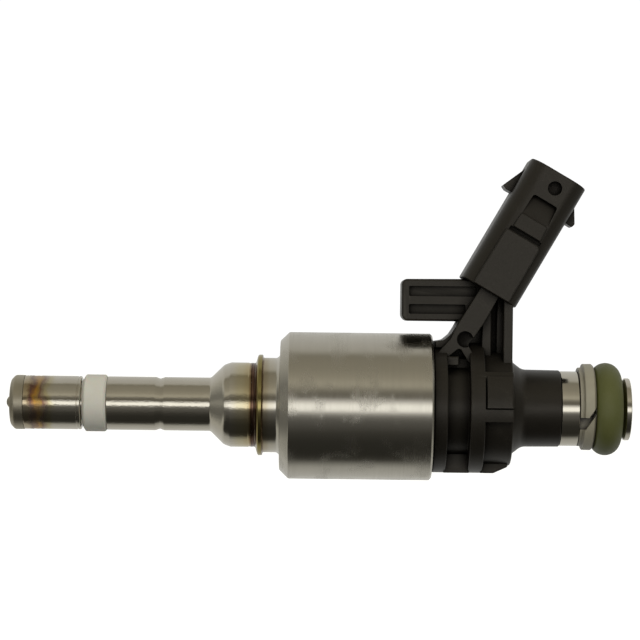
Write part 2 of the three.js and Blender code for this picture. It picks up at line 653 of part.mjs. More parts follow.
addPiece('valve_seat', valveSeat(), blastedSteel());
addPiece('nozzle_tube', nozzleTube(), polishedSteel());
addPiece('combustion_seal', combustionSeal(), material(0xece9e2, 0.55, 0));
addPiece('needle_guide', needleGuide(), hardSteel());
addPiece('valve_ball', valveBall(), hardSteel());
addPiece('needle_rod', needleRod(), hardSteel());
addPiece('needle_collar', ring(COLLAR.start, COLLAR.end, NEEDLE_RADIUS + FIT, COLLAR.radius,
  SMALL_ROUND), hardSteel());
addPiece('lower_stop_ring', ring(LOWER_STOP.start, LOWER_STOP.end, NEEDLE_RADIUS + FIT,
  LOWER_STOP.radius, SMALL_ROUND), hardSteel());
addPiece('armature_damping_spring', spring(DAMPING_SPRING), springSteel());
addPiece('armature', armature(), magnetIron());
addPiece('valve_housing', valveHousing(), material(0xb39a5e, 0.3, 1));
addPiece('solenoid_housing', solenoidHousing(), satinSteel());
addPiece('spacer_ring', ring(SPACER.start, SPACER.end, SLEEVE.inner, SLEEVE.outer), polishedSteel());
addPiece('pole_core', poleCore(), magnetIron());
addPiece('coil_bobbin', coilBobbin(), material(0x6b5a3c, 0.5, 0));
addPiece('coil_winding', coilWinding(), material(0xa8562b, 0.35, 1));
addPiece('yoke_cover', yokeCover(), magnetIron());
addPiece('return_spring', spring(RETURN_SPRING), springSteel());
addPiece('adjusting_tube', ring(ADJUSTING_TUBE.start, ADJUSTING_TUBE.end, ADJUSTING_TUBE.inner,
  ADJUSTING_TUBE.outer, SMALL_ROUND), polishedSteel());
addPiece('terminal_left', terminal(-1), tinnedCopper());
addPiece('terminal_right', terminal(1), tinnedCopper());
addPiece('connector_overmold', connectorOvermold(), blackPlastic());
addPiece('inlet_tube', inletTube(), polishedSteel());
addPiece('backup_ring', backupRing(), material(0xa39c8e, 0.45, 0));
addPiece('inlet_o_ring', inletORing(), material(0x5a6243, 0.5, 0));
addPiece('inlet_filter_frame', filterFrame(), material(0x3c3a36, 0.5, 0));
addPiece('inlet_filter_mesh', filterMesh(), material(0x9a978e, 0.5, 1));

export default injector;
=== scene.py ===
"""Fuel injector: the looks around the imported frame, laid out as an add-on and run as a script."""

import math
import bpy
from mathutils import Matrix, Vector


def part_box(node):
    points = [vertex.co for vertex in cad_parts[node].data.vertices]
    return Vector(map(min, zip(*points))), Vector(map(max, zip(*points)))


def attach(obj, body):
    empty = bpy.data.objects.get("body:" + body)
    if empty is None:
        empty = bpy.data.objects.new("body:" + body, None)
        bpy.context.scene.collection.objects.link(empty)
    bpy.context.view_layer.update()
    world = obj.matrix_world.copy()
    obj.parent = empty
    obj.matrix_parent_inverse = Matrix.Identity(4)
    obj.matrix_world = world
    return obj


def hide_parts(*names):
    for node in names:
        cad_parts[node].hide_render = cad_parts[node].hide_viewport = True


bl_info = {
    "name": "Fuel Injector",
    "version": (1, 0, 0),
    "blender": (4, 5, 0),
    "location": "View3D > Sidebar > Injector",
    "description": "Builds the visible pieces of a direct-injection fuel injector",
    "category": "Add Mesh",
}

import bmesh
import bpy
from bpy.props import (
    FloatProperty,
    FloatVectorProperty,
    IntProperty,
    PointerProperty,
)
from mathutils import Matrix, Vector

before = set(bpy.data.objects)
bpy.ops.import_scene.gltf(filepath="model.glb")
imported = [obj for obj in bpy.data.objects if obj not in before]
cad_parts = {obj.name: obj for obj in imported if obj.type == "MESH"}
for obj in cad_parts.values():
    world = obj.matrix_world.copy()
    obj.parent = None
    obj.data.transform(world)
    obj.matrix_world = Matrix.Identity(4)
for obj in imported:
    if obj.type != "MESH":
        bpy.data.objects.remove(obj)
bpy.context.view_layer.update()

# ------------------------------------------------------------------ sizes read from the frame

MM = 0.001
SEAT_LOW, SEAT_HIGH = (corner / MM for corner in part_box("valve_seat"))
TUBE_LOW, TUBE_HIGH = (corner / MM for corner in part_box("nozzle_tube"))
SEAL_LOW, SEAL_HIGH = (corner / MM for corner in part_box("combustion_seal"))
NECK_LOW, NECK_HIGH = (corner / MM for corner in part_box("valve_housing"))
POT_LOW, POT_HIGH = (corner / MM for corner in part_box("solenoid_housing"))
MOULD_LOW, MOULD_HIGH = (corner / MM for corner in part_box("connector_overmold"))
INLET_LOW, INLET_HIGH = (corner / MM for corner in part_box("inlet_tube"))
BACKUP_LOW, BACKUP_HIGH = (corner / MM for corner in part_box("backup_ring"))
ORING_LOW, ORING_HIGH = (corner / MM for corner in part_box("inlet_o_ring"))

# ------------------------------------------------------------------ settings


def length(name, description, default):
    return FloatProperty(
        name=name, description=description, default=default * MM, unit="LENGTH"
    )


def colour(name, description, default):
    return FloatVectorProperty(
        name=name,
        description=description,
        default=default,
        size=3,
        subtype="COLOR",
        min=0.0,
        max=1.0,
    )


class InjectorNozzleSettings(bpy.types.PropertyGroup):
    """Tip, tube and slip ring"""

    tip_chamfer: length("Tip chamfer", "Width of the tip cap's front chamfer", 0.62)
    dome_radius: length("Dome radius", "Radius of the spray dome", 0.9)
    weld_depth: length("Weld depth", "How far the weld seams sink in", 0.035)
    edge: length("Edge", "Small rounding on turned edges", 0.08)
    steel: colour("Steel", "Colour of the bright turned steel", (0.61, 0.575, 0.49))
    blasted: colour("Blasted", "Colour of the blasted tip cap", (0.47, 0.43, 0.33))
    straw: colour("Straw tint", "Gold heat tint at the welds", (0.50, 0.27, 0.06))
    seal: colour("Slip ring", "Colour of the slip ring", (0.74, 0.725, 0.64))


class InjectorHousingSettings(bpy.types.PropertyGroup):
    """Flange, neck and solenoid housing"""

    chamfer: length("Chamfer", "Length of the housing's front chamfer", 1.27)
    edge: length("Edge", "Small rounding on the housing's edges", 0.12)
    root: length("Neck root", "Rounding where the neck meets the housing", 0.42)
    steel: colour("Steel", "Colour of the satin turned steel", (0.58, 0.55, 0.475))
    gold: colour("Gold tint", "Heat tint of the flange", (0.33, 0.275, 0.11))


class InjectorMouldingSettings(bpy.types.PropertyGroup):
    """Black moulding with the plug socket"""

    tilt: FloatProperty(
        name="Socket tilt",
        description="Angle between the socket and the injector",
        default=math.radians(60),
        subtype="ANGLE",
    )
    edge: length("Edge", "Rounding on the moulding's edges", 0.2)
    socket_corner: length("Socket corner", "Rounding of the socket's long edges", 2.4)
    plastic: colour("Plastic", "Colour of the black moulding", (0.0142, 0.0124, 0.0096))


class InjectorInletSettings(bpy.types.PropertyGroup):
    """Inlet tube and its seals"""

    o_ring: colour("O-ring", "Colour of the O-ring", (0.104, 0.112, 0.031))
    backup: colour("Backup ring", "Colour of the backup ring", (0.385, 0.36, 0.272))


class InjectorStageSettings(bpy.types.PropertyGroup):
    """Camera, lights and floor"""

    distance: length("Distance", "Camera distance from the axis", 328.5)
    height: length("Height", "Camera height above the axis", 12.07)
    aside: length("Aside", "Camera place along the injector", 5.5)
    floor_drop: length("Floor drop", "Floor below the axis", 62.0)
    focal: FloatProperty(name="Focal length", description="Lens in millimetres", default=131.0)
    roll: FloatProperty(
        name="Roll",
        description="Camera roll",
        default=math.radians(0.7),
        subtype="ANGLE",
    )
    sides: IntProperty(
        name="Sides", description="Sides of the turned pieces", default=160, min=24
    )


# ------------------------------------------------------------------ outlines

ARC_STEPS = 5


def filleted(corners, closed=True):
    """Points of an outline whose corners (along, out, rounding) are rounded with arcs."""
    points = []
    count = len(corners)
    for index, corner in enumerate(corners):
        here = Vector(corner[:2])
        rounding = corner[2] if len(corner) > 2 else 0.0
        at_end = not closed and index in (0, count - 1)
        if rounding <= 0 or at_end:
            points.append(tuple(here))
            continue
        before = (Vector(corners[index - 1][:2]) - here)
        after = (Vector(corners[(index + 1) % count][:2]) - here)
        reach = min(before.length, after.length) * 0.49
        before.normalize()
        after.normalize()
        half = before.angle(after) / 2
        if half > math.radians(89):
            points.append(tuple(here))
            continue
        rounding = min(rounding, reach * math.tan(half))
        centre = here + (before + after).normalized() * rounding / math.sin(half)
        first = here + before * rounding / math.tan(half) - centre
        last = here + after * rounding / math.tan(half) - centre
        sweep = first.angle_signed(last)
        for step in range(ARC_STEPS + 1):
            turn = Matrix.Rotation(-sweep * step / ARC_STEPS, 2)
            points.append(tuple(centre + turn @ first))
    return points


def arc(centre, radius, start, end, steps):
    """Points (along, out) of an arc, with its angles in degrees from the first axis."""
    points = []
    for step in range(steps + 1):
        angle = math.radians(start + (end - start) * step / steps)
        points.append(
            (centre[0] + radius * math.cos(angle), centre[1] + radius * math.sin(angle))
        )
    return points


# ------------------------------------------------------------------ meshes, from millimetres


def new_object(name, vertices, faces):
    mesh = bpy.data.meshes.new(name)
    mesh.from_pydata([Vector(v) * MM for v in vertices], [], faces)
    work = bmesh.new()
    work.from_mesh(mesh)
    bmesh.ops.remove_doubles(work, verts=work.verts, dist=1e-7)
    bmesh.ops.recalc_face_normals(work, faces=work.faces)
    work.to_mesh(mesh)
    work.free()
    obj = bpy.data.objects.new(name, mesh)
    bpy.context.scene.collection.objects.link(obj)
    return obj


def turned(name, outline, sides=None, drop=0.0):
    """A piece turned around the injector's axis from (along, radius) points."""
    sides = sides or bpy.context.scene.injector_stage.sides
    vertices, rings = [], []
    for along, radius in outline:
        if radius < 1e-6:
            rings.append([len(vertices)])
            vertices.append((along, 0.0, drop))
            continue
        rings.append(list(range(len(vertices), len(vertices) + sides)))
        for side in range(sides):
            angle = 2 * math.pi * side / sides
            vertices.append(
                (along, radius * math.sin(angle), drop + radius * math.cos(angle))
            )
    pairs = list(zip(rings, rings[1:]))
    if len(rings[0]) > 1:
        pairs.append((rings[-1], rings[0]))
    faces = []
    for first, second in pairs:
        for side in range(sides):
            beside = (side + 1) % sides
            if len(first) == 1 and len(second) == 1:
                continue
            if len(first) == 1:
                faces.append((first[0], second[side], second[beside]))
            elif len(second) == 1:
                faces.append((first[side], first[beside], second[0]))
            else:
                faces.append((first[side], first[beside], second[beside], second[side]))
    return new_object(name, vertices, faces)


def soften_rims(obj, width, steps=3):
    """Rounds the edges between a prism's two flat ends and its sides."""
    work = bmesh.new()
    work.from_mesh(obj.data)
    most = max(len(face.verts) for face in work.faces)
    ends = [face for face in work.faces if len(face.verts) == most]
    rims = list({edge for face in ends for edge in face.edges})
    bmesh.ops.bevel(
        work,
        geom=rims,
        offset=width * MM,
        offset_type="OFFSET",
        segments=steps,
        profile=0.5,
        affect="EDGES",
        clamp_overlap=True,
    )
    work.to_mesh(obj.data)
    work.free()
    return obj


def prism(name, base, top, edge=0.0):
    """A closed piece between two matching loops of points."""
    count = len(base)
    faces = [tuple(range(count)), tuple(range(2 * count - 1, count - 1, -1))]
    for index in range(count):
        beside = (index + 1) % count
        faces.append((index, beside, count + beside, count + index))
    obj = new_object(name, [*base, *top], faces)
    return soften_rims(obj, edge) if edge > 0 else obj


def plate(name, outline, near, far, edge=0.0):
    """A flat piece with an outline of (x, z) points between two depths."""
    base = [(along, near, up) for along, up in outline]
    top = [(along, far, up) for along, up in outline]
    return prism(name, base, top, edge)


def block(name, low, high, rounding=0.0, edge=0.0):
    """A block from its lowest to its highest corner, with rounded upright corners."""
    outline = filleted(
        [
            (low[0], low[2], rounding),
            (high[0], low[2], rounding),
            (high[0], high[2], rounding),
            (low[0], high[2], rounding),
        ]
    )
    return plate(name, outline, low[1], high[1], edge)


def bar(name, start, end, radius, sides=32, edge=0.0):
    """A round bar between two points."""
    start, end = Vector(start), Vector(end)
    turn = (end - start).to_track_quat("Z", "Y")
    loop = [
        turn @ Vector((radius * math.cos(a), radius * math.sin(a), 0))
        for a in (2 * math.pi * side / sides for side in range(sides))
    ]
    return prism(name, [start + p for p in loop], [end + p for p in loop], edge)


def evaluated(obj):
    """Applies the modifiers of a piece to its mesh."""
    bpy.context.view_layer.update()
    graph = bpy.context.evaluated_depsgraph_get()
    mesh = bpy.data.meshes.new_from_object(obj.evaluated_get(graph))
    old = obj.data
    obj.modifiers.clear()
    obj.data = mesh
    mesh.name = obj.name
    if old.users == 0:
        bpy.data.meshes.remove(old)
    return obj


def combined(obj, tools, operation):
    """Joins pieces to one, or cuts them out of it, and removes them."""
    for tool in tools:
        step = obj.modifiers.new("step", "BOOLEAN")
        step.operation = operation
        step.solver = "MANIFOLD"
        step.object = tool
        evaluated(obj)
        mesh = tool.data
        bpy.data.objects.remove(tool)
        bpy.data.meshes.remove(mesh)
    return obj


def joined(obj, tools):
    return combined(obj, tools, "UNION")


def cut(obj, tools):
    return combined(obj, tools, "DIFFERENCE")


def merged_flats(obj):
    """Merges the small triangles that cutting leaves on a flat face, so that it shades evenly."""
    work = bmesh.new()
    work.from_mesh(obj.data)
    bmesh.ops.dissolve_limit(
        work, angle_limit=math.radians(0.6), verts=work.verts, edges=work.edges
    )
    work.to_mesh(obj.data)
    work.free()
    return obj


SHARP_ANGLE = math.radians(34)


def finished(obj, body, node, material):
    """Shades a piece smoothly between its sharp edges, gives its finish, and seats it."""
    mesh = obj.data
    for polygon in mesh.polygons:
        polygon.use_smooth = True
    mesh.set_sharp_from_angle(angle=SHARP_ANGLE)
    even = obj.modifiers.new("even", "WEIGHTED_NORMAL")
    even.keep_sharp = True
    even.weight = 60
    evaluated(obj)
    obj.data.materials.clear()
    obj.data.materials.append(material)
    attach(obj, body)
    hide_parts(node)
    return obj


# ------------------------------------------------------------------ material nodes


class Finish:
    """A material under construction: short calls that add and join its nodes."""

    def __init__(self, name):
        self.material = bpy.data.materials.new(name)
        self.material.use_nodes = True
        self.tree = self.material.node_tree
        self.tree.nodes.clear()
        self.shader = self.add("ShaderNodeBsdfPrincipled")
        output = self.add("ShaderNodeOutputMaterial")
        self.join(self.shader.outputs["BSDF"], output.inputs["Surface"])
        coordinates = self.add("ShaderNodeTexCoord")
        scale = self.add("ShaderNodeVectorMath", operation="SCALE")
        self.join(coordinates.outputs["Object"], scale.inputs[0])
        scale.inputs["Scale"].default_value = 1 / MM
        self.place = scale.outputs[0]  # place on the injector, in millimetres

    def add(self, kind, **settings):
        node = self.tree.nodes.new(kind)
        for key, value in settings.items():
            setattr(node, key, value)
        return node

    def join(self, output, target):
        self.tree.links.new(output, target)

    def put(self, value, target):
        """Sets a socket to a number or colour, or joins an output to it."""
        if isinstance(value, bpy.types.NodeSocket):
            self.join(value, target)
        elif hasattr(value, "__len__") and len(value) == 3 and len(target.default_value) == 4:
            target.default_value = (*value, 1.0)
        else:
            target.default_value = value

    def set(self, **values):
        """Sets the shader's own sockets."""
        for key, value in values.items():
            self.put(value, self.shader.inputs[key.replace("_", " ")])

    def stretched(self, scale):
        """The place, stretched or squeezed along each axis."""
        node = self.add("ShaderNodeVectorMath", operation="MULTIPLY")
        self.join(self.place, node.inputs[0])
        node.inputs[1].default_value = scale
        return node.outputs[0]

    def noise(self, scale=(1, 1, 1), detail=3.0, roughness=0.55, distortion=0.0):
        node = self.add("ShaderNodeTexNoise")
        self.join(self.stretched(scale), node.inputs["Vector"])
        node.inputs["Scale"].default_value = 1.0
        node.inputs["Detail"].default_value = detail
        node.inputs["Roughness"].default_value = roughness
        node.inputs["Distortion"].default_value = distortion
        return node.outputs["Fac"]

    def crevice_shading(self, reach, low=0.0):
        """Factor for painted shade in crevices, from ambient occlusion: from low in a crevice to 1 on an
        open face, looking around by a reach in millimetres.
        """
        node = self.add("ShaderNodeAmbientOcclusion", samples=12)
        node.inputs["Distance"].default_value = reach * MM
        return self.ranged(node.outputs["AO"], 0.4, 0.97, low, 1.0)

    def maths(self, operation, first, second=0.0, third=0.0):
        node = self.add("ShaderNodeMath", operation=operation)
        for value, target in zip((first, second, third), node.inputs):
            self.put(value, target)
        return node.outputs[0]

    def ranged(self, value, low, high, new_low, new_high, smooth=False):
        node = self.add("ShaderNodeMapRange")
        if smooth:
            node.interpolation_type = "SMOOTHSTEP"
        for given, key in (
            (value, "Value"),
            (low, "From Min"),
            (high, "From Max"),
            (new_low, "To Min"),
            (new_high, "To Max"),
        ):
            self.put(given, node.inputs[key])
        return node.outputs["Result"]

    def axis(self, index):
        node = self.add("ShaderNodeSeparateXYZ")
        self.join(self.place, node.inputs[0])
        return node.outputs[index]

    def ramp(self, value, stops, smooth=True):
        """A colour or grey ramp over (position, colour) stops in the value's own units."""
        low, high = stops[0][0], stops[-1][0]
        node = self.add("ShaderNodeValToRGB")
        self.join(self.ranged(value, low, high, 0.0, 1.0), node.inputs["Fac"])
        node.color_ramp.interpolation = "EASE" if smooth else "LINEAR"
        elements = node.color_ramp.elements
        while len(elements) > 1:
            elements.remove(elements[-1])
        for index, (position, shade) in enumerate(stops):
            share = (position - low) / (high - low)
            element = elements[0] if index == 0 else elements.new(share)
            element.position = share
            shade = shade if hasattr(shade, "__len__") else (shade,) * 3
            element.color = (*shade, 1.0)
        return node.outputs["Color"]

    def mixed(self, share, first, second, blend="MIX"):
        node = self.add("ShaderNodeMix", data_type="RGBA", blend_type=blend)
        self.put(share, node.inputs[0])
        self.put(first, node.inputs[6])
        self.put(second, node.inputs[7])
        return node.outputs[2]

    def bump(self, height, depth, strength=1.0, under=None):
        """A bump of the given depth in millimetres, over another bump."""
        node = self.add("ShaderNodeBump")
        node.inputs["Strength"].default_value = strength
        node.inputs["Distance"].default_value = depth * MM
        self.join(height, node.inputs["Height"])
        if under is not None:
            self.join(under, node.inputs["Normal"])
        return node.outputs["Normal"]


def turned_lines(finish, coarse=2.2, fine=9.0):
    """Fine lines left by turning: rings that differ from one another along the axis."""
    wide = finish.noise((coarse, 0.05, 0.05), detail=2.0, roughness=0.6)
    narrow = finish.noise((fine, 0.12, 0.12), detail=3.0, roughness=0.7)
    return finish.maths("ADD", finish.maths("MULTIPLY", wide, 0.45), narrow)


def bright_steel():
    """Turned, nearly polished steel with straw and brown heat tint at the tip weld."""
    look = bpy.context.scene.injector_nozzle
    finish = Finish("bright_steel")
    lines = turned_lines(finish)
    along = finish.maths(
        "ADD",
        finish.axis(0),
        finish.ranged(finish.noise((0.4, 0.42, 0.42), detail=5), 0.25, 0.75, -0.7, 0.7),
    )
    plain = finish.mixed(
        finish.ranged(finish.noise((0.35, 0.35, 0.35), detail=4), 0.3, 0.7, 0.0, 0.16),
        look.steel,
        (0.40, 0.36, 0.29),
    )
    tint = finish.ramp(
        along,
        [
            (-36.4, (0.50, 0.44, 0.33)),
            (-35.2, (0.47, 0.38, 0.24)),
            (-34.9, (0.34, 0.24, 0.14)),
            (-34.6, (0.20, 0.11, 0.085)),
            (-34.25, (0.30, 0.15, 0.06)),
            (-33.95, look.straw),
            (-33.6, (0.40, 0.25, 0.08)),
            (-33.35, (0.26, 0.15, 0.10)),
            (-32.95, (0.36, 0.28, 0.19)),
            (-32.4, (0.52, 0.46, 0.28)),
            (-31.2, (0.61, 0.57, 0.47)),
        ],
    )
    weld = finish.ramp(along, [(-36.4, 1.0), (-32.6, 1.0), (-31.2, 0.0), (-30.0, 0.0)])
    uneven = finish.ranged(finish.noise((0.12, 0.3, 0.3), detail=2), 0.35, 0.6, 0.62, 1.0)
    shade = finish.mixed(finish.maths("MULTIPLY", weld, uneven), plain, tint)
    ringed = finish.maths(
        "ADD", finish.axis(0), finish.ranged(finish.noise((0.3, 0.5, 0.5)), 0, 1, -0.12, 0.12)
    )
    wide_end = finish.ramp(
        ringed,
        [(-7.0, (1, 1, 1)), (-5.4, (0.97, 0.93, 0.76)), (-4.35, (0.92, 0.83, 0.60)),
         (-4.08, (0.55, 0.41, 0.25)), (-3.93, (0.11, 0.062, 0.040)), (-3.8, (0.09, 0.048, 0.032))],
    )
    shade = finish.mixed(1.0, shade, wide_end, "MULTIPLY")
    rough = finish.ranged(lines, 0.3, 1.1, 0.055, 0.13)
    at_weld = finish.ramp(along, [(-35.4, 0.0), (-34.8, 0.2), (-33.4, 0.2), (-32.8, 0.0)])
    finish.set(Base_Color=shade, Metallic=1.0, Anisotropic=0.35)
    finish.set(Roughness=finish.maths("ADD", rough, at_weld))
    ripple = finish.bump(finish.noise((1.4, 3.2, 3.2), detail=2), 0.02, 0.5)
    finish.set(Normal=finish.bump(lines, 0.004, 0.35, ripple))
    return finish.material


def blasted_steel():
    """Matt blasted steel of the tip cap, with a soft brown cast from the burner side."""
    look = bpy.context.scene.injector_nozzle
    finish = Finish("blasted_steel")
    grain = finish.noise((9, 9, 9), detail=5, roughness=0.7)
    patches = finish.ranged(finish.noise((0.6, 0.6, 0.6), detail=3), 0.35, 0.7, 0.0, 0.45)
    shade = finish.mixed(patches, look.blasted, (0.38, 0.33, 0.235))
    shade = finish.mixed(finish.ranged(grain, 0.3, 0.8, 0.0, 0.25), shade, (0.55, 0.52, 0.44))
    finish.set(Base_Color=shade, Metallic=1.0)
    finish.set(Roughness=finish.ranged(grain, 0.2, 0.8, 0.36, 0.5))
    finish.set(Normal=finish.bump(grain, 0.012, 0.4))
    return finish.material


def slip_ring_white():
    """White slip ring, slightly waxy, with faint cut marks and handling grey."""
    look = bpy.context.scene.injector_nozzle
    finish = Finish("slip_ring_white")
    patches = finish.ranged(finish.noise((0.9, 0.7, 0.7), detail=4), 0.4, 0.75, 0.0, 0.35)
    shade = finish.mixed(patches, look.seal, (0.65, 0.63, 0.545))
    marks = finish.noise((5.0, 0.4, 0.4), detail=3, roughness=0.7)
    finish.set(Base_Color=shade, IOR=1.36, Subsurface_Weight=0.12, Subsurface_Scale=0.0006)
    finish.set(Roughness=finish.ranged(marks, 0.2, 0.8, 0.42, 0.6))
    grain = finish.bump(finish.noise((1.5, 1.5, 1.5), detail=3), 0.03, 0.4)
    finish.set(Normal=finish.bump(marks, 0.01, 0.4, grain))
    return finish.material


def tinted_steel():
    """Turned steel of the flange and neck, gold and brown from the weld beside it."""
    look = bpy.context.scene.injector_housing
    finish = Finish("tinted_steel")
    lines = turned_lines(finish)
    along = finish.maths(
        "ADD", finish.axis(0), finish.ranged(finish.noise((0.4, 0.5, 0.5)), 0, 1, -0.12, 0.12)
    )
    tint = finish.ramp(
        along,
        [(-4.0, (0.09, 0.048, 0.032)), (-3.7, (0.15, 0.09, 0.06)), (-3.55, (0.07, 0.04, 0.028)),
         (-3.45, (0.09, 0.055, 0.04)), (-3.36, (0.45, 0.40, 0.31)), (-3.25, (0.45, 0.38, 0.26)), (-3.05, look.gold), (-2.6, look.gold), (-2.42, (0.17, 0.11, 0.06)),
         (-2.1, (0.46, 0.40, 0.29)), (-1.2, (0.56, 0.52, 0.43)), (-0.4, look.steel)],
    )
    finish.set(Base_Color=tint, Metallic=1.0, Anisotropic=0.35)
    finish.set(Roughness=finish.ranged(lines, 0.3, 1.1, 0.09, 0.2))
    finish.set(Normal=finish.bump(lines, 0.004, 0.35))
    return finish.material


def satin_steel():
    """Satin turned steel of the solenoid housing, with fine rings and small scuffs."""
    look = bpy.context.scene.injector_housing
    finish = Finish("satin_steel")
    lines = turned_lines(finish, coarse=1.6, fine=7.0)
    scuffs = finish.noise((3.0, 0.5, 0.5), detail=6, roughness=0.75, distortion=0.6)
    spots = finish.ranged(scuffs, 0.62, 0.8, 0.0, 1.0, smooth=True)
    cast = finish.ranged(finish.noise((0.25, 0.25, 0.25), detail=3), 0.35, 0.7, 0.0, 0.2)
    shade = finish.mixed(cast, look.steel, (0.52, 0.49, 0.43))
    shade = finish.mixed(finish.maths("MULTIPLY", spots, 0.25), shade, (0.36, 0.35, 0.32))
    streaks = finish.noise((4.5, 0.1, 0.1), detail=5, roughness=0.7)
    shade = finish.mixed(
        finish.ranged(streaks, 0.35, 0.75, 0.0, 0.3), shade, (0.47, 0.45, 0.395)
    )
    hairs = finish.noise((1.1, 1.4, 1.4), detail=7, roughness=0.6, distortion=2.2)
    near = finish.maths("ABSOLUTE", finish.maths("SUBTRACT", hairs, 0.5))
    thin = finish.ranged(near, 0.0, 0.010, 1.0, 0.0)
    where = finish.ranged(finish.noise((0.22, 0.2, 0.2), detail=2), 0.5, 0.62, 0.0, 1.0, smooth=True)
    scratch = finish.maths("MULTIPLY", thin, where)
    shade = finish.mixed(finish.maths("MULTIPLY", scratch, 0.5), shade, (0.20, 0.19, 0.17))
    rough = finish.maths(
        "ADD", finish.ranged(lines, 0.3, 1.1, 0.155, 0.21), finish.ranged(streaks, 0.3, 0.7, -0.035, 0.06)
    )
    haze = finish.maths("ADD", finish.maths("MULTIPLY", spots, 0.12), finish.maths("MULTIPLY", where, 0.09))
    finish.set(Base_Color=shade, Metallic=1.0, Anisotropic=0.45)
    finish.set(Roughness=finish.maths("ADD", rough, haze))
    scored = finish.bump(finish.maths("MULTIPLY", scratch, -1.0), 0.006, 0.6)
    finish.set(Normal=finish.bump(lines, 0.002, 0.3, scored))
    return finish.material


def black_moulding():
    """Glass-filled black plastic with a fine spark-eroded grain, lighter patches at random, colour lighter
    towards sharp convex edges, and painted shade in crevices.
    """
    look = bpy.context.scene.injector_moulding
    finish = Finish("black_moulding")
    grain = finish.noise((6, 6, 6), detail=4, roughness=0.65)
    patches = finish.ranged(finish.noise((0.35, 0.35, 0.35), detail=5), 0.35, 0.7, 0.0, 0.5)
    shade = finish.mixed(patches, look.plastic, (0.018, 0.0155, 0.012))
    flecks = finish.ranged(finish.noise((16, 16, 16), detail=2), 0.68, 0.8, 0.0, 0.35)
    shade = finish.mixed(flecks, shade, (0.034, 0.030, 0.024))
    # colour lighter towards sharp convex edges, by pointiness
    edge_pointiness = finish.add("ShaderNodeNewGeometry").outputs["Pointiness"]
    edge_lightening = finish.ranged(edge_pointiness, 0.53, 0.62, 0.0, 0.45, smooth=True)
    shade = finish.mixed(edge_lightening, shade, (0.05, 0.046, 0.038))
    # painted shade: ambient occlusion mixes the colour towards near black in crevices, pockets and recesses
    crevice_shade_factor = finish.crevice_shading(1.9, 0.08)
    shade = finish.mixed(crevice_shade_factor, (0.0015, 0.0013, 0.001), shade)
    scuffs = finish.noise((1.6, 1.3, 1.6), detail=6, roughness=0.6, distortion=1.8)
    thin = finish.maths("ABSOLUTE", finish.maths("SUBTRACT", scuffs, 0.5))
    where = finish.ranged(finish.noise((0.3, 0.3, 0.3)), 0.56, 0.66, 0.0, 0.55, smooth=True)
    mark = finish.maths("MULTIPLY", finish.ranged(thin, 0.0, 0.012, 1.0, 0.0), where)
    shade = finish.mixed(mark, shade, (0.08, 0.072, 0.058))
    finish.set(Base_Color=shade, IOR=1.5, Specular_Tint=(1.0, 0.94, 0.84))
    finish.set(Specular_IOR_Level=0.395)
    # painted shade: the specular level is lowered in the same crevices
    finish.set(Specular_IOR_Level=finish.maths("MULTIPLY", crevice_shade_factor, 0.395))
    finish.set(Roughness=finish.ranged(grain, 0.25, 0.8, 0.31, 0.46))
    soft = finish.bump(finish.noise((0.7, 0.7, 0.7), detail=2), 0.05, 0.35)
    finish.set(Normal=finish.bump(grain, 0.012, 0.45, soft))
    return finish.material


def olive_rubber():
    """Olive green rubber, satin, with a bloom of pale dust and faint mould lines."""
    look = bpy.context.scene.injector_inlet
    finish = Finish("olive_rubber")
    patches = finish.ranged(finish.noise((0.5, 0.5, 0.5), detail=4), 0.35, 0.7, 0.0, 0.6)
    shade = finish.mixed(patches, look.o_ring, (0.125, 0.128, 0.044))
    dust = finish.ranged(finish.noise((5, 5, 5), detail=5, roughness=0.7), 0.6, 0.85, 0.0, 0.35)
    shade = finish.mixed(dust, shade, (0.22, 0.22, 0.15))
    finish.set(Base_Color=shade, IOR=1.48)
    finish.set(Roughness=finish.ranged(finish.noise((3, 3, 3)), 0.3, 0.7, 0.42, 0.58))
    finish.set(Normal=finish.bump(finish.noise((4, 4, 4), detail=4), 0.015, 0.5))
    return finish.material


def grey_plastic():
    """Grey-beige plastic of the backup ring, machined, with fine cut lines and painted shade in its
    crevices.
    """
    look = bpy.context.scene.injector_inlet
    finish = Finish("grey_plastic")
    lines = finish.noise((7.0, 0.3, 0.3), detail=3, roughness=0.7)
    patches = finish.ranged(finish.noise((0.8, 0.8, 0.8), detail=4), 0.35, 0.7, 0.0, 0.5)
    shade = finish.mixed(patches, look.backup, (0.325, 0.302, 0.222))
    # painted shade: ambient occlusion mixes the colour towards near black in crevices and in the scarf cut
    crevice_shade_factor = finish.crevice_shading(1.1, 0.0)
    finish.set(Base_Color=finish.mixed(crevice_shade_factor, (0.025, 0.02, 0.013), shade), IOR=1.5)
    finish.set(Roughness=finish.ranged(lines, 0.2, 0.8, 0.36, 0.52))
    finish.set(Normal=finish.bump(lines, 0.008, 0.4))
    return finish.material


def inlet_steel():
    """Bright turned steel of the inlet tube."""
    look = bpy.context.scene.injector_nozzle
    finish = Finish("inlet_steel")
    lines = turned_lines(finish, coarse=3.0, fine=11.0)
    cast = finish.ranged(finish.noise((0.4, 0.4, 0.4), detail=3), 0.35, 0.7, 0.0, 0.25)
    shade = finish.mixed(cast, look.steel, (0.50, 0.47, 0.40))
    finish.set(Base_Color=shade, Metallic=1.0, Anisotropic=0.4)
    finish.set(Roughness=finish.ranged(lines, 0.3, 1.1, 0.07, 0.16))
    finish.set(Normal=finish.bump(lines, 0.003, 0.35))
    return finish.material


def machined(name, shade, darker, low, high):
    """Metal of a piece inside: fine turned lines, patches of another tone, small scuffs."""
    finish = Finish(name)
    lines = turned_lines(finish, coarse=2.6, fine=8.0)
    cast = finish.ranged(finish.noise((0.6, 0.6, 0.6), detail=4), 0.35, 0.7, 0.0, 0.6)
    finish.set(Base_Color=finish.mixed(cast, shade, darker), Metallic=1.0)
    finish.set(Roughness=finish.ranged(lines, 0.3, 1.1, low, high))
    finish.set(Normal=finish.bump(lines, 0.006, 0.5))
    return finish.material


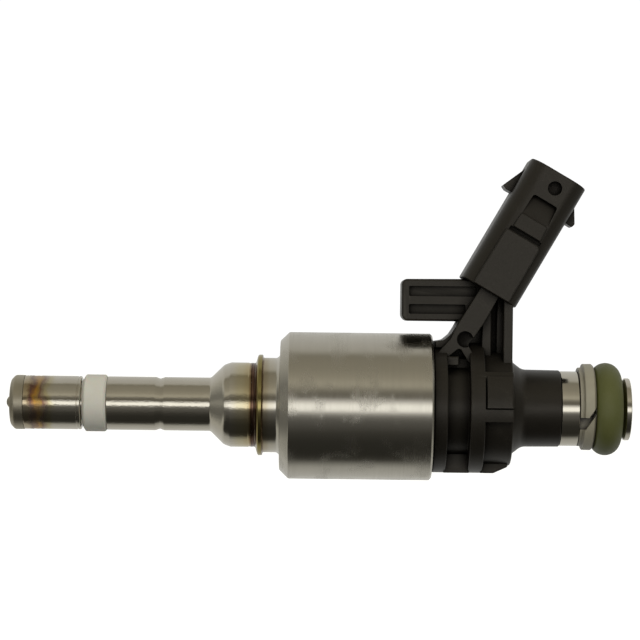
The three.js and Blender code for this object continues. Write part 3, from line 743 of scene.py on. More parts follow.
def wound_copper():
    """Enamelled copper wire, wound side by side in rows along the axis, with painted shade between the
    turns.
    """
    finish = Finish("wound_copper")
    wires = finish.maths("SINE", finish.maths("MULTIPLY", finish.axis(0), 2 * math.pi / 0.25))
    tone = finish.ranged(finish.noise((1.2, 0.4, 0.4), detail=4), 0.3, 0.7, 0.0, 1.0)
    shade = finish.mixed(tone, (0.42, 0.13, 0.045), (0.30, 0.085, 0.03))
    # painted shade: near-black colour in the grooves between the wire turns
    painted_gap_shade = finish.ranged(wires, -1.0, -0.4, 0.75, 0.0)
    finish.set(Base_Color=finish.mixed(painted_gap_shade, shade, (0.05, 0.015, 0.008)), Metallic=0.85)
    finish.set(Roughness=finish.ranged(finish.noise((3, 3, 3)), 0.3, 0.7, 0.22, 0.36))
    finish.set(Coat_Weight=0.5, Coat_Roughness=0.15)
    finish.set(Normal=finish.bump(wires, 0.06, 0.7))
    return finish.material


def moulded(name, shade, lighter):
    """Matt moulded plastic of a piece inside."""
    finish = Finish(name)
    grain = finish.noise((7, 7, 7), detail=4, roughness=0.65)
    patches = finish.ranged(finish.noise((0.5, 0.5, 0.5), detail=4), 0.35, 0.7, 0.0, 0.6)
    finish.set(Base_Color=finish.mixed(patches, shade, lighter), IOR=1.5)
    finish.set(Roughness=finish.ranged(grain, 0.25, 0.8, 0.42, 0.58))
    finish.set(Normal=finish.bump(grain, 0.01, 0.5))
    return finish.material


def woven_wire():
    """Fine woven wire of the inlet filter: crossing strands with painted shade between them."""
    finish = Finish("woven_wire")
    turn = finish.maths("ARCTAN2", finish.axis(2), finish.axis(1))
    round_way = finish.maths("SINE", finish.maths("MULTIPLY", turn, 56.0))
    long_way = finish.maths("SINE", finish.maths("MULTIPLY", finish.axis(0), 2 * math.pi / 0.13))
    strands = finish.maths("MAXIMUM", round_way, long_way)
    tone = finish.ranged(finish.noise((1.0, 1.0, 1.0), detail=4), 0.3, 0.7, 0.0, 1.0)
    shade = finish.mixed(tone, (0.44, 0.42, 0.38), (0.30, 0.285, 0.25))
    # painted shade: near-black colour where the openings between the strands would show shade
    painted_gap_shade = finish.ranged(strands, -0.2, 0.3, 0.9, 0.0)
    finish.set(Base_Color=finish.mixed(painted_gap_shade, shade, (0.012, 0.011, 0.010)), Metallic=0.9)
    finish.set(Roughness=finish.ranged(finish.noise((4, 4, 4)), 0.3, 0.7, 0.3, 0.45))
    finish.set(Normal=finish.bump(strands, 0.04, 0.7))
    return finish.material


# ------------------------------------------------------------------ nozzle


def tip_cap():
    """Blasted tip cap with its spray dome, and the seat body inside the tube."""
    look = bpy.context.scene.injector_nozzle
    dome, chamfer, edge = (v / MM for v in (look.dome_radius, look.tip_chamfer, look.edge))
    apex = SEAT_LOW.x
    face = apex + 0.73
    outer = SEAT_HIGH.z
    seam = TUBE_LOW.x - 0.04
    spigot = 3.1
    inner_end = SEAT_HIGH.x
    dome_line = [
        (face - 0.73 * math.cos(a), dome * math.sin(a))
        for a in (math.radians(10 * step) for step in range(9))
    ]
    outline = [
        *dome_line,
        *filleted(
            [
                (face - 0.14, dome),
                (face, dome + 0.05, 0.05),
                (face, outer - chamfer, 0.5),
                (face + chamfer * 0.95, outer, 0.55),
                (seam - 0.35, outer),
                (seam, outer - 0.02, 0.02),
                (seam, spigot),
                (inner_end, spigot, 0.1),
                (inner_end, 2.2, 0.1),
                (inner_end - 0.9, 2.2),
                (inner_end - 1.4, 1.54),
                (-36.35, 1.54),
                (-37.44, 0.45),
                (-37.8, 0.45),
            ],
            closed=False,
        ),
        (-38.0, 0.3),
        (-38.05, 0.0),
    ]
    cap = turned("tip_cap", outline)
    holes = []
    for index in range(6):
        turn = 2 * math.pi * index / 6
        way = Vector((-1, 0.75 * math.sin(turn), 0.75 * math.cos(turn))).normalized()
        start = Vector((-37.7, 0, 0)) + way * 0.15
        holes.append(bar("hole", start, start + way * 1.1, 0.11, sides=16))
    cut(cap, holes)
    return finished(cap, "root", "valve_seat", blasted_steel())


def nozzle_barrel():
    """Long turned tube with its weld seams, the seal groove, the V mark and the cone."""
    look = bpy.context.scene.injector_nozzle
    edge, weld = look.edge / MM, look.weld_depth / MM
    front, back = TUBE_LOW.x, TUBE_HIGH.x
    tube, wide = 3.765, TUBE_HIGH.z
    mark = -16.85
    seam = -34.05
    outline = filleted(
        [
            (front, 3.15),
            (front, tube - 0.03, 0.03),
            (front + 0.12, tube, 0.05),
            (seam - 0.62, tube),
            (seam - 0.45, tube - weld, 0.1),
            (seam, tube - weld * 0.3, 0.3),
            (seam + 0.4, tube - weld, 0.1),
            (seam + 0.55, tube),
            (-28.46, tube, 0.02),
            (-28.4, tube - 0.07, 0.02),
            (-28.3, tube - 0.07, 0.02),
            (-28.24, tube, 0.02),
            (-27.97, tube, 0.1),
            (-27.86, tube - 0.2, 0.05),
            (-27.86, 3.05, 0.05),
            (-24.25, 3.05, 0.05),
            (-24.25, tube, edge),
            (mark - 0.63, tube, 0.25),
            (mark, tube - 0.22, 0.12),
            (mark + 0.63, tube, 0.25),
            (-9.75, tube, 0.6),
            (-7.85, 5.62, 1.3),
            (-6.9, wide, 0.9),
            (-4.42, wide, 0.1),
            (-4.28, wide - 0.06, 0.08),
            (back, wide - 0.02),
            (back, 2.4),
            (-9.0, 2.4),
            (-9.3, 2.2),
            (-32.9, 2.2),
            (-32.9, 3.15),
        ]
    )
    barrel = turned("nozzle_barrel", outline)
    return finished(barrel, "root", "nozzle_tube", bright_steel())


def slip_ring():
    """White slip ring with its long front chamfer."""
    start, end, outer = SEAL_LOW.x, SEAL_HIGH.x, SEAL_HIGH.z
    outline = filleted(
        [
            (start, 3.08, 0.05),
            (start, outer - 0.72, 0.12),
            (start + 0.43, outer, 0.22),
            (end - 0.3, outer, 0.2),
            (end, outer - 0.28, 0.1),
            (end, 3.08, 0.05),
        ]
    )
    ring = turned("slip_ring", outline)
    return finished(ring, "root", "combustion_seal", slip_ring_white())


# ------------------------------------------------------------------ housings


def flange_and_neck():
    """Flange, neck and sleeve, welded to the wide end of the tube."""
    look = bpy.context.scene.injector_housing
    root = look.root / MM
    start, end = NECK_LOW.x, NECK_HIGH.x
    outline = filleted(
        [
            (start, 2.4),
            (start, 5.93),
            (-3.6, 5.9, 0.08),
            (-3.5, 5.95, 0.05),
            (-3.42, 5.95, 0.05),
            (-3.12, 6.95, 0.15),
            (-2.95, 7.1, 0.12),
            (-2.45, 7.1, 0.12),
            (-2.38, 6.72, 0.1),
            (-2.2, 6.66, 0.1),
            (-0.02 - root, 6.66, root * 0.9),
            (-0.02, 6.66 + root * 0.9),
            (-0.02, 5.0),
            (end, 5.0),
            (end, 4.25),
            (-1.9, 4.25),
            (-1.9, 2.4),
        ]
    )
    neck = turned("flange_and_neck", outline)
    return finished(neck, "root", "valve_housing", tinted_steel())


def solenoid_pot():
    """Large turned steel pot around the solenoid."""
    look = bpy.context.scene.injector_housing
    chamfer, edge = look.chamfer / MM, look.edge / MM
    end, outer = POT_HIGH.x, POT_HIGH.z
    outline = filleted(
        [
            (0.0, 5.05),
            (0.0, outer - chamfer + 0.04, 0.35),
            (chamfer, outer, 0.3),
            (end - 0.28, outer, edge),
            (end, outer - 0.28, edge),
            (end, 9.15, 0.1),
            (2.3, 9.15),
            (2.3, 5.05),
        ]
    )
    pot = turned("solenoid_pot", outline)
    return finished(pot, "root", "solenoid_housing", satin_steel())


# ------------------------------------------------------------------ moulding

SOCKET_BASE = (28.96, 16.23)
SOCKET_LENGTH = 19.2
SOCKET_HALF = 4.33
SOCKET_DEPTH = 5.8
PANEL_DEPTH = 6.1


def socket_point(s, t):
    """The (x, z) place of a point s along the socket and t across it."""
    tilt = bpy.context.scene.injector_moulding.tilt
    return (
        SOCKET_BASE[0] + s * math.cos(tilt) - t * math.sin(tilt),
        SOCKET_BASE[1] + s * math.sin(tilt) + t * math.cos(tilt),
    )


def socket_plate(name, corners, near, far, edge=0.0):
    """A plate whose outline is given along and across the socket."""
    outline = [socket_point(s, t) for s, t in filleted(corners)]
    return plate(name, outline, near, far, edge)


def socket_prism(name, half, depth, corner, start, end, edge=0.0):
    """A tube-like piece along the socket with a rounded rectangular section."""
    section = filleted(
        [(half, depth, corner), (-half, depth, corner), (-half, -depth, corner), (half, -depth, corner)]
    )

    def loop(s):
        return [(*socket_point(s, t)[:1], y, socket_point(s, t)[1]) for t, y in section]

    return prism(name, loop(start), loop(end), edge)


def moulded_barrel():
    """Everything round in the moulding."""
    start, end = MOULD_LOW.x, MOULD_HIGH.x
    plug, bore, neck = 9.05, 4.32, 5.42
    end = 39.25
    outline = filleted(
        [
            (20.2, bore),
            (20.2, plug),
            (21.5, plug),
            (21.5, 9.2, 0.12),
            (23.24, 9.2, 0.15),
            (23.24, 6.95, 0.2),
            (26.37, 6.95, 0.2),
            (26.37, 9.2, 0.18),
            (28.4, 9.2, 0.18),
            (28.4, 8.15, 0.15),
            (32.4, 8.15, 0.3),
            (32.4, 6.72, 0.1),
            (32.75, 6.4, 0.4),
            (34.0, neck + 0.02, 1.6),
            (end, 5.38, 0.12),
            (end, bore),
        ]
    )
    return turned("moulding", outline)


def barrel_ribs(edge):
    """Ribs under the rings, the bridge over the window, and the ears with their raised pads."""
    tail = [
        (28.2, -9.1),
        (30.0, -9.1, 0.5),
        (32.0, -8.2, 0.3),
        (32.0, -7.0),
        (28.2, -7.0),
    ]
    pieces = [
        block("rib", (23.0, -2.5, -9.1), (26.6, 2.5, -6.0), 0.0, 0.1),
        plate("rib", filleted(tail), -2.5, 2.5, edge),
        block("bridge", (23.0, -4.0, 4.5), (26.6, 4.0, 7.0), 0.0, edge),
        block("step", (23.0, -5.3, 5.95), (24.85, 5.3, 7.25), 0.0, edge),
    ]
    for side in (-1, 1):
        near, far = sorted((side * 6.0, side * 10.0))
        ear = turned("ear", filleted([(28.2, 7.4), (28.2, 9.2), (32.36, 9.2, 0.3), (32.36, 7.4)]))
        slab = block("slab", (27.0, near, -1.65), (34.0, far, 5.2))
        ear = combined(ear, [slab], "INTERSECT")
        pad = turned("pad", filleted([(28.6, 7.4), (28.6, 9.42, 0.1), (32.3, 9.42, 0.35), (32.3, 7.4)]))
        slab = block("slab", (27.0, near, 0.28), (34.0, far, 4.6), 0.0, 0.0)
        pieces += [ear, combined(pad, [slab], "INTERSECT")]
    return pieces


def struts(edge):
    """Struts that carry the socket, the conduit of the terminals, and the web between them."""
    slanted = [
        (28.6, 18.1),
        (24.8, 11.9, 2.0),
        (23.68, 9.67, 0.8),
        (21.65, 7.45, 0.1),
        (21.65, 6.4, 0.1),
        (22.6, 6.5, 0.3),
        (24.95, 8.45, 0.35),
        (26.3, 6.3, 0.2),
        (27.15, 7.0, 0.2),
        (26.15, 8.8, 0.6),
        (28.15, 11.7, 1.5),
        (30.9, 16.6),
    ]
    upright = [
        (31.0, 5.5),
        (32.32, 5.5),
        (32.32, 14.4, 0.5),
        (31.6, 16.4),
        (31.0, 16.4),
    ]
    web = [
        (22.2, 6.6),
        (22.2, 7.5),
        (24.3, 9.7),
        (25.3, 11.7),
        (28.4, 17.4),
        (31.6, 16.0),
        (31.6, 6.6),
    ]
    root = [
        (21.6, 8.4),
        (21.6, 9.3, 0.1),
        (22.8, 9.5, 1.0),
        (23.75, 10.3, 0.8),
        (24.4, 11.3, 0.8),
        (24.95, 12.4),
        (26.4, 12.4),
        (24.6, 8.4),
    ]
    pieces = [
        block("conduit", (28.1, -3.4, 6.0), (29.45, 3.4, 17.0), 0.0, edge),
        block("rib", (30.2, -2.6, 6.0), (31.4, 2.6, 15.5), 0.0, edge),
        plate("web", web, -1.2, 1.2),
        plate("root", filleted(root), -4.3, 4.3, edge),
    ]
    for side in (-1, 1):
        near, far = sorted((side * 3.2, side * 5.0))
        pieces.append(plate("slanted", filleted(slanted), near, far, edge))
        pieces.append(plate("upright", filleted(upright), near, far, edge))
    return pieces


def wing_plate(edge):
    """Flat wing beside the socket, with two long pockets in each face."""
    outline = [
        (16.87, 12.1, 0.95),
        (28.3, 12.1),
        (28.3, 18.06),
        (25.0, 18.04),
        (16.87, 17.97, 0.75),
    ]
    wing = plate("wing", filleted(outline), -3.5, 3.5, edge * 1.6)
    pockets = []
    for side in (-1, 1):
        near, far = sorted((side * 2.85, side * 5.0))
        for end, low, high in ((25.8, 13.11, 14.47), (27.3, 15.58, 17.0)):
            pockets.append(block("pocket", (17.88, near, low), (end, far, high), 0.2))
    return cut(wing, pockets)


def lip_wedge(side):
    """Lip above the panel, which slopes down to the pocket beside it."""
    corners = filleted([(9.55, 1.9, 0.15), (9.55, -2.45, 0.15), (11.75, -2.3, 0.3), (11.75, 1.8, 0.3)])

    def height(s):
        return side * (PANEL_DEPTH - 0.02 - (s - 9.5) * 0.05)

    base = [(*socket_point(s, t)[:1], side * 4.0, socket_point(s, t)[1]) for s, t in corners]
    top = [(*socket_point(s, t)[:1], height(s), socket_point(s, t)[1]) for s, t in corners]
    return prism("lip", base, top, 0.12)


def socket_shell(edge):
    """The socket's outer body with its panels, lips, ramps and lug."""
    corner = bpy.context.scene.injector_moulding.socket_corner / MM
    shell = socket_prism("shell", SOCKET_HALF, SOCKET_DEPTH, corner, 0.0, SOCKET_LENGTH, 0.2)
    pieces = []
    for side in (-1, 1):
        near, far = sorted((side * 4.0, side * PANEL_DEPTH))
        panel = [(0.05, 2.65, 0.2), (0.05, -3.0, 0.2), (8.85, -2.95, 0.7), (8.85, 2.5, 0.3)]
        pieces.append(socket_plate("panel", panel, near, far, 0.15))
        pieces.append(lip_wedge(side))
    wall = SOCKET_HALF - 0.4
    high = [(18.75, wall - 0.1), (14.05, 5.85, 0.15), (13.75, 5.2, 0.1), (13.8, wall)]
    low = [(16.9, -wall), (13.9, -wall), (13.9, -5.5, 0.15), (14.43, -5.65, 0.3), (16.38, -4.45, 0.3)]
    pieces.append(socket_plate("ramp", high, -2.0, 2.0, 0.12))
    pieces.append(socket_plate("lug", low, -1.8, 1.8, 0.12))
    return joined(shell, pieces)


def latch_pocket(side):
    """Pocket behind the lip, whose floor runs deeper away from it."""
    corners = filleted([(11.75, 1.75), (11.75, -2.35), (14.85, -2.15, 0.4), (14.85, 1.65, 0.4)])

    def depth(s):
        return side * (5.78 - (s - 11.75) * 0.235)

    floor = [(*socket_point(s, t)[:1], depth(s), socket_point(s, t)[1]) for s, t in corners]
    above = [(*socket_point(s, t)[:1], side * 7.0, socket_point(s, t)[1]) for s, t in corners]
    return prism("latch_pocket", floor, above)


def pad_line(side, along, heights):
    """Narrow groove beside a raised pad."""
    near, far = sorted((side * 8.0, side * 9.25))
    return block("line", (along[0], near, heights[0]), (along[1], far, heights[1]))


def socket_hollows():
    """What is cut from the socket: the plug's room, the pockets and the round marks."""
    hollows = [socket_prism("room", 3.05, 4.65, 1.4, 4.5, SOCKET_LENGTH + 1)]
    mouth = socket_prism("mouth", 3.25, 4.85, 1.5, SOCKET_LENGTH - 0.25, SOCKET_LENGTH + 1)
    hollows.append(mouth)
    for side in (-1, 1):
        hollows.append(latch_pocket(side))
        near, far = sorted((side * 5.35, side * 7.0))
        gap = [(8.95, 2.2), (8.95, -2.75), (9.5, -2.75), (9.5, 2.2)]
        hollows.append(socket_plate("gap", gap, near, far))
        x, z = socket_point(16.97, -0.46)
        hollows.append(bar("mark", (x, side * 4.9, z), (x, side * 7.0, z), 1.0))
        hollows.append(bar("mark", (25.7, side * 3.4, 9.62), (25.7, side * 6.0, 9.62), 1.15))
        hollows.append(pad_line(side, (28.38, 28.62), (0.05, 4.8)))
        hollows.append(pad_line(side, (28.38, 32.6), (0.05, 0.29)))
    return hollows


def terminal_channels():
    """Rooms that the two terminals run in."""
    line = [(19.0, 5.9), (29.0, 5.9), (29.0, 16.2)]
    channels = []
    for side in (-1, 1):
        near, far = side * 1.9 - 0.9, side * 1.9 + 0.9
        channels.append(block("channel", (19.0, near, 5.35), (29.55, far, 6.45)))
        channels.append(block("channel", (28.45, near, 5.36), (29.55, far, 16.6)))
        corners = [(-0.2, 0.55), (-0.2, -0.55), (4.8, -0.55), (4.8, 0.55)]
        channels.append(socket_plate("channel", corners, near, far))
    return channels


def black_body():
    """The whole black moulding in one piece."""
    edge = bpy.context.scene.injector_moulding.edge / MM
    body = moulded_barrel()
    joined(body, [*barrel_ribs(edge), *struts(edge), wing_plate(edge), socket_shell(edge)])
    cut(body, [*socket_hollows(), *terminal_channels()])
    merged_flats(body)
    return finished(body, "root", "connector_overmold", black_moulding())


# ------------------------------------------------------------------ inlet


def inlet_pipe():
    """Steel inlet tube with its collar, the seats of both rings, and the end lip."""
    outline = filleted(
        [
            (19.55, 1.93),
            (19.55, 4.25),
            (39.32, 4.25),
            (39.32, 5.26, 0.1),
            (41.8, 5.26, 0.12),
            (41.8, 4.0, 0.1),
            (44.05, 4.0, 0.1),
            (44.05, 2.95, 0.1),
            (47.62, 2.95, 0.3),
            (48.32, 4.2, 0.1),
            (48.45, 4.38, 0.12),
            (49.15, 4.38, 0.15),
            (49.15, 2.75, 0.1),
            (48.55, 2.1, 0.15),
            (38.5, 2.1),
            (38.3, 1.93),
        ]
    )
    pipe = turned("inlet_pipe", outline)
    return finished(pipe, "root", "inlet_tube", inlet_steel())


def split_ring():
    """Loose backup ring with its scarf cut."""
    drop = (BACKUP_HIGH.z + BACKUP_LOW.z) / 2
    outline = filleted(
        [
            (41.85, 4.35, 0.08),
            (41.85, 5.53, 0.1),
            (42.35, 5.55, 0.1),
            (42.5, 6.06, 0.12),
            (43.72, 6.08, 0.12),
            (44.0, 5.78, 0.08),
            (44.0, 4.35, 0.08),
        ]
    )
    ring = turned("split_ring", outline, drop=drop)
    scarf = [
        (41.5, -1.05),
        (41.5, -2.72),
        (42.65, -2.72),
        (44.2, -0.25),
        (44.2, 0.75),
        (43.0, -1.05),
    ]
    cut(ring, [plate("scarf", scarf, -9.0, -4.15)])
    return finished(ring, "root", "backup_ring", grey_plastic())


def o_ring():
    """O-ring pressed flat against the backup ring and the groove floor."""
    steps = 44
    outline = []
    for step in range(steps):
        angle = 2 * math.pi * step / steps
        along = max(44.1, 45.8 + 2.13 * math.sin(angle))
        outline.append((along, max(3.0, 4.38 + 2.13 * math.cos(angle))))
    ring = turned("o_ring", outline)
    return finished(ring, "root", "inlet_o_ring", olive_rubber())


FILTER_START, FILTER_END = 40.2, 48.3


def filter_frame():
    """Push-in frame of the inlet filter: a rim, four ribs and a foot."""
    rim = turned(
        "filter_frame",
        filleted(
            [
                (FILTER_END - 1.2, 1.35),
                (FILTER_END - 1.2, 2.02, 0.1),
                (FILTER_END, 2.02, 0.12),
                (FILTER_END, 1.35, 0.2),
            ]
        ),
        sides=96,
    )
    foot = turned(
        "foot",
        filleted(
            [
                (FILTER_START, 1.0),
                (FILTER_START, 2.02, 0.25),
                (FILTER_START + 0.8, 2.02, 0.1),
                (FILTER_START + 0.8, 1.0),
            ]
        ),
        sides=96,
    )
    ribs = []
    for index in range(4):
        rib = block("rib", (FILTER_START + 0.3, -0.2, 1.56), (FILTER_END - 0.3, 0.2, 1.94), 0.0, 0.06)
        rib.data.transform(Matrix.Rotation(index * math.pi / 2, 4, "X"))
        ribs.append(rib)
    joined(rim, [foot, *ribs])
    look = moulded("filter_plastic", (0.030, 0.027, 0.022), (0.045, 0.041, 0.034))
    return finished(rim, "root", "inlet_filter_frame", look)


def filter_cone():
    """Cone of woven wire inside the filter's frame."""
    start, end = FILTER_START + 0.1, FILTER_END - 1.0
    outline = [
        (start, 0.0),
        *filleted([(start, 0.2), (start, 0.75, 0.15), (end, 1.3)], closed=False)[1:],
        (end, 1.19),
        (start + 0.12, 0.64),
        (start + 0.12, 0.0),
    ]
    cone = turned("filter_cone", outline, sides=96)
    return finished(cone, "root", "inlet_filter_mesh", woven_wire())


# ------------------------------------------------------------------ terminals and the pieces inside

TERMINAL_TIP = 11.2


def terminal_blade(side, node):
    """One plug contact: a flat strip bent up through the moulding, with a tapered tip."""
    low, high = (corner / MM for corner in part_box(node))
    middle = (low.y + high.y) / 2
    half_width = (high.y - low.y) / 2
    half = 0.25
    height = low.z + half
    line = filleted(
        [
            (low.x, height),
            (SOCKET_BASE[0], height, 0.6),
            (*SOCKET_BASE, 0.8),
            socket_point(TERMINAL_TIP - 1.0, 0),
            socket_point(TERMINAL_TIP - 0.35, 0),
            socket_point(TERMINAL_TIP, 0),
        ],
        closed=False,
    )
    tapers = {len(line) - 2: (0.75, 0.8), len(line) - 1: (0.35, 0.55)}
    chamfer = 0.07
    loops = []
    for index, place in enumerate(line):
        before = Vector(line[max(index - 1, 0)])
        after = Vector(line[min(index + 1, len(line) - 1)])
        way = (after - before).normalized()
        thin, narrow = tapers.get(index, (1.0, 1.0))
        reach, deep = half * thin, half_width * narrow
        section = []
        for across, depth in (
            (reach, deep - chamfer), (reach - chamfer, deep),
            (chamfer - reach, deep), (-reach, deep - chamfer),
            (-reach, chamfer - deep), (chamfer - reach, -deep),
            (reach - chamfer, -deep), (reach, chamfer - deep),
        ):
            section.append((place[0] - way.y * across, middle + depth, place[1] + way.x * across))
        loops.append(section)
    vertices = [point for section in loops for point in section]
    count = len(loops[0])
    faces = [tuple(range(count)), tuple(len(vertices) - 1 - i for i in range(count))]
    for first in range(len(loops) - 1):
        for index in range(count):
            beside = (index + 1) % count
            a, b = first * count, (first + 1) * count
            faces.append((a + index, a + beside, b + beside, b + index))
    blade = new_object(f"blade_{side}", vertices, faces)
    return finished(blade, "root", node, bpy.data.materials["tinned_copper"])


def inside_looks():
    """Gives every piece inside, which keeps its own shape, its finish."""
    ground = machined("ground_steel", (0.42, 0.43, 0.44), (0.33, 0.33, 0.335), 0.12, 0.24)
    wire = machined("spring_wire", (0.30, 0.285, 0.26), (0.20, 0.19, 0.17), 0.24, 0.38)
    iron = machined("magnet_iron", (0.40, 0.38, 0.35), (0.30, 0.28, 0.25), 0.28, 0.44)
    bright = machined("bright_inside", (0.56, 0.54, 0.49), (0.45, 0.43, 0.38), 0.12, 0.24)
    looks = {
        "needle_guide": ground,
        "valve_ball": ground,
        "needle_rod": ground,
        "needle_collar": ground,
        "lower_stop_ring": ground,
        "armature_damping_spring": wire,
        "return_spring": wire,
        "armature": iron,
        "pole_core": iron,
        "yoke_cover": iron,
        "spacer_ring": bright,
        "adjusting_tube": bright,
        "coil_bobbin": moulded("bobbin_plastic", (0.16, 0.11, 0.055), (0.20, 0.145, 0.08)),
        "coil_winding": wound_copper(),
    }
    for node, material in looks.items():
        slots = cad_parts[node].data.materials
        slots.clear()
        slots.append(material)


# ------------------------------------------------------------------ stage


def stage_floor():
    look = bpy.context.scene.injector_stage
    half = 3.0
    drop = -look.floor_drop
    mesh = bpy.data.meshes.new("floor")
    corners = [(-half, -half, drop), (half, -half, drop), (half, half, drop), (-half, half, drop)]
    mesh.from_pydata(corners, [], [(0, 1, 2, 3)])
    floor = bpy.data.objects.new("floor", mesh)
    bpy.context.scene.collection.objects.link(floor)
    finish = Finish("pale_floor")
    cast = finish.ranged(finish.noise((0.002, 0.002, 0.002)), 0.3, 0.7, 0.0, 1.0)
    finish.set(Base_Color=finish.mixed(cast, (0.86, 0.86, 0.855), (0.88, 0.88, 0.875)))
    finish.set(Roughness=0.8, Emission_Color=(1.0, 1.0, 0.99), Emission_Strength=0.7)
    mesh.materials.append(finish.material)
    floor.visible_glossy = False
    floor.visible_diffuse = False


def fill_ramp(node, stops):
    """Gives a ramp its (share, colour) stops."""
    elements = node.color_ramp.elements
    while len(elements) > 1:
        elements.remove(elements[-1])
    for index, (share, shade) in enumerate(stops):
        element = elements[0] if index == 0 else elements.new(share)
        element.position = share
        element.color = (*shade, 1.0)


def studio_light():
    """Soft room: white behind, a warm ceiling and a dark floor in front, and one long strip."""
    world = bpy.data.worlds.new("studio")
    bpy.context.scene.world = world
    world.use_nodes = True
    tree = world.node_tree
    tree.nodes.clear()
    output = tree.nodes.new("ShaderNodeOutputWorld")
    coordinates = tree.nodes.new("ShaderNodeTexCoord")
    split = tree.nodes.new("ShaderNodeSeparateXYZ")
    tree.links.new(coordinates.outputs["Generated"], split.inputs[0])
    front = tree.nodes.new("ShaderNodeMath")
    front.operation = "MULTIPLY"
    front.inputs[1].default_value = -1.0
    tree.links.new(split.outputs["Y"], front.inputs[0])
    angle = tree.nodes.new("ShaderNodeMath")
    angle.operation = "ARCTAN2"
    tree.links.new(split.outputs["Z"], angle.inputs[0])
    tree.links.new(front.outputs[0], angle.inputs[1])
    share = tree.nodes.new("ShaderNodeMapRange")
    share.inputs["From Min"].default_value = -math.pi
    share.inputs["From Max"].default_value = math.pi
    tree.links.new(angle.outputs[0], share.inputs["Value"])
    room = tree.nodes.new("ShaderNodeValToRGB")
    tree.links.new(share.outputs[0], room.inputs["Fac"])
    stops = [
        (-180, (0.66, 0.66, 0.64)),
        (-150, (0.62, 0.62, 0.60)),
        (-124, (0.53, 0.53, 0.51)),
        (-110, (0.46, 0.46, 0.44)),
        (-100, (0.26, 0.26, 0.245)),
        (-92, (0.055, 0.053, 0.047)),
        (-80, (0.031, 0.030, 0.026)),
        (-55, (0.036, 0.035, 0.031)),
        (-40, (0.058, 0.056, 0.050)),
        (-29, (0.105, 0.102, 0.095)),
        (-20, (0.135, 0.132, 0.124)),
        (-13, (0.23, 0.225, 0.215)),
        (-8, (0.60, 0.595, 0.58)),
        (-5.5, (1.50, 1.50, 1.48)),
        (3.5, (1.50, 1.50, 1.48)),
        (8.5, (0.80, 0.79, 0.77)),
        (12.5, (0.42, 0.41, 0.39)),
        (14, (0.17, 0.16, 0.135)),
        (21, (0.17, 0.16, 0.135)),
        (27, (0.29, 0.275, 0.235)),
        (33, (0.50, 0.475, 0.40)),
        (38, (0.49, 0.465, 0.39)),
        (46, (0.40, 0.375, 0.31)),
        (60, (0.33, 0.31, 0.255)),
        (78, (0.30, 0.28, 0.23)),
        (87, (0.27, 0.255, 0.21)),
        (93, (0.42, 0.41, 0.37)),
        (99, (0.52, 0.51, 0.48)),
        (128, (0.60, 0.60, 0.585)),
        (180, (0.66, 0.66, 0.64)),
    ]
    fill_ramp(room, [((degrees + 180) / 360, shade) for degrees, shade in stops])
    upward = tree.nodes.new("ShaderNodeMapRange")
    upward.inputs["From Min"].default_value = -1.0
    tree.links.new(split.outputs["Z"], upward.inputs["Value"])
    walls = tree.nodes.new("ShaderNodeValToRGB")
    tree.links.new(upward.outputs[0], walls.inputs["Fac"])
    heights = [
        (-0.50, 0.50),
        (-0.45, 0.38),
        (-0.38, 0.25),
        (-0.28, 0.17),
        (-0.12, 0.19),
        (-0.04, 0.27),
        (0.04, 0.33),
        (0.10, 0.29),
        (0.18, 0.215),
        (0.28, 0.23),
        (0.43, 0.38),
        (0.50, 0.50),
    ]
    fill_ramp(walls, [((up + 1) / 2, (level, level * 0.985, level * 0.9)) for up, level in heights])
    ends = tree.nodes.new("ShaderNodeMath")
    ends.operation = "ABSOLUTE"
    tree.links.new(split.outputs["X"], ends.inputs[0])
    aside = tree.nodes.new("ShaderNodeMapRange")
    aside.interpolation_type = "SMOOTHSTEP"
    aside.inputs["From Min"].default_value = 0.6
    aside.inputs["From Max"].default_value = 0.85
    tree.links.new(ends.outputs[0], aside.inputs["Value"])
    sides = tree.nodes.new("ShaderNodeMix")
    sides.data_type = "RGBA"
    tree.links.new(aside.outputs[0], sides.inputs[0])
    tree.links.new(room.outputs["Color"], sides.inputs[6])
    tree.links.new(walls.outputs["Color"], sides.inputs[7])
    seen = tree.nodes.new("ShaderNodeBackground")
    tree.links.new(sides.outputs[2], seen.inputs["Color"])
    behind = tree.nodes.new("ShaderNodeBackground")
    behind.inputs["Color"].default_value = (1.0, 1.0, 1.0, 1.0)
    behind.inputs["Strength"].default_value = 1.05
    path = tree.nodes.new("ShaderNodeLightPath")
    pick = tree.nodes.new("ShaderNodeMixShader")
    tree.links.new(path.outputs["Is Camera Ray"], pick.inputs[0])
    tree.links.new(seen.outputs[0], pick.inputs[1])
    tree.links.new(behind.outputs[0], pick.inputs[2])
    tree.links.new(pick.outputs[0], output.inputs["Surface"])


def area_light(name, place, target, size, power, shade):
    lamp = bpy.data.lights.new(name, "AREA")
    lamp.shape = "RECTANGLE"
    lamp.size, lamp.size_y = size
    lamp.energy = power
    lamp.color = shade
    light = bpy.data.objects.new(name, lamp)
    light.location = place
    light.rotation_euler = (Vector(target) - Vector(place)).to_track_quat("-Z", "Y").to_euler()
    light.visible_camera = False
    light.visible_glossy = False
    bpy.context.scene.collection.objects.link(light)


def studio_camera():
    look = bpy.context.scene.injector_stage
    lens = bpy.data.cameras.new("camera")
    lens.sensor_width = 36
    lens.lens = look.focal
    lens.clip_start = 0.01
    lens.clip_end = 20
    camera = bpy.data.objects.new("camera", lens)
    upright = Matrix.Rotation(math.radians(90), 4, "X")
    roll = Matrix.Rotation(look.roll, 4, "Z")
    place = Matrix.Translation((look.aside, -look.distance, look.height))
    camera.matrix_world = place @ upright @ roll
    bpy.context.scene.collection.objects.link(camera)
    bpy.context.scene.camera = camera


# ------------------------------------------------------------------ operators


class INJECTOR_OT_nozzle(bpy.types.Operator):
    """Build the tip cap, the nozzle tube and the slip ring"""

    bl_idname = "injector.nozzle"
    bl_label = "Nozzle"

    def execute(self, context):
        tip_cap()
        nozzle_barrel()
        slip_ring()
        return {"FINISHED"}


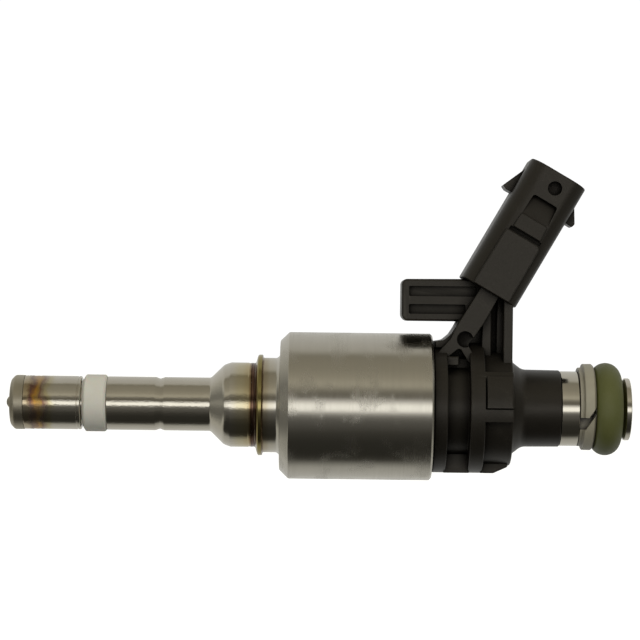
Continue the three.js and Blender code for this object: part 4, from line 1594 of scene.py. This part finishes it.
class INJECTOR_OT_housing(bpy.types.Operator):
    """Build the flange with its neck, and the solenoid housing"""

    bl_idname = "injector.housing"
    bl_label = "Housing"

    def execute(self, context):
        flange_and_neck()
        solenoid_pot()
        return {"FINISHED"}


class INJECTOR_OT_moulding(bpy.types.Operator):
    """Build the black moulding with the plug socket"""

    bl_idname = "injector.moulding"
    bl_label = "Moulding"

    def execute(self, context):
        black_body()
        return {"FINISHED"}


class INJECTOR_OT_inlet(bpy.types.Operator):
    """Build the inlet tube, the backup ring, the O-ring and the filter"""

    bl_idname = "injector.inlet"
    bl_label = "Inlet"

    def execute(self, context):
        inlet_pipe()
        split_ring()
        o_ring()
        filter_frame()
        filter_cone()
        return {"FINISHED"}


class INJECTOR_OT_inside(bpy.types.Operator):
    """Build the two plug contacts and give the valve, magnet and coil their finishes"""

    bl_idname = "injector.inside"
    bl_label = "Inside"

    def execute(self, context):
        machined("tinned_copper", (0.62, 0.58, 0.49), (0.50, 0.46, 0.38), 0.18, 0.32)
        terminal_blade("left", "terminal_left")
        terminal_blade("right", "terminal_right")
        inside_looks()
        return {"FINISHED"}


class INJECTOR_OT_stage(bpy.types.Operator):
    """Set up the floor, the soft light and the camera"""

    bl_idname = "injector.stage"
    bl_label = "Stage"

    def execute(self, context):
        context.scene.view_settings.view_transform = "Standard"
        stage_floor()
        studio_light()
        area_light("front", (0.1, -0.95, 0.5), (0.0, 0.0, 0.0), (1.0, 0.6), 3.9, (1.0, 0.99, 0.96))
        studio_camera()
        return {"FINISHED"}


class INJECTOR_PT_panel(bpy.types.Panel):
    """Lists the steps that build the injector"""

    bl_label = "Fuel Injector"
    bl_idname = "INJECTOR_PT_panel"
    bl_space_type = "VIEW_3D"
    bl_region_type = "UI"
    bl_category = "Injector"

    def draw(self, context):
        for operator in OPERATORS:
            self.layout.operator(operator.bl_idname)
        for name in SETTINGS:
            settings = getattr(context.scene, name)
            for key in settings.__annotations__:
                self.layout.prop(settings, key)


SETTINGS = {
    "injector_nozzle": InjectorNozzleSettings,
    "injector_housing": InjectorHousingSettings,
    "injector_moulding": InjectorMouldingSettings,
    "injector_inlet": InjectorInletSettings,
    "injector_stage": InjectorStageSettings,
}
OPERATORS = (
    INJECTOR_OT_stage,
    INJECTOR_OT_nozzle,
    INJECTOR_OT_housing,
    INJECTOR_OT_moulding,
    INJECTOR_OT_inlet,
    INJECTOR_OT_inside,
)
CLASSES = (*SETTINGS.values(), *OPERATORS, INJECTOR_PT_panel)


def register():
    for item in CLASSES:
        bpy.utils.register_class(item)
    for name, group in SETTINGS.items():
        setattr(bpy.types.Scene, name, PointerProperty(type=group))


def unregister():
    for name in SETTINGS:
        delattr(bpy.types.Scene, name)
    for item in reversed(CLASSES):
        bpy.utils.unregister_class(item)


def main():
    register()
    bpy.ops.injector.stage()
    bpy.ops.injector.nozzle()
    bpy.ops.injector.housing()
    bpy.ops.injector.moulding()
    bpy.ops.injector.inlet()
    bpy.ops.injector.inside()


if __name__ == "__main__":
    main()
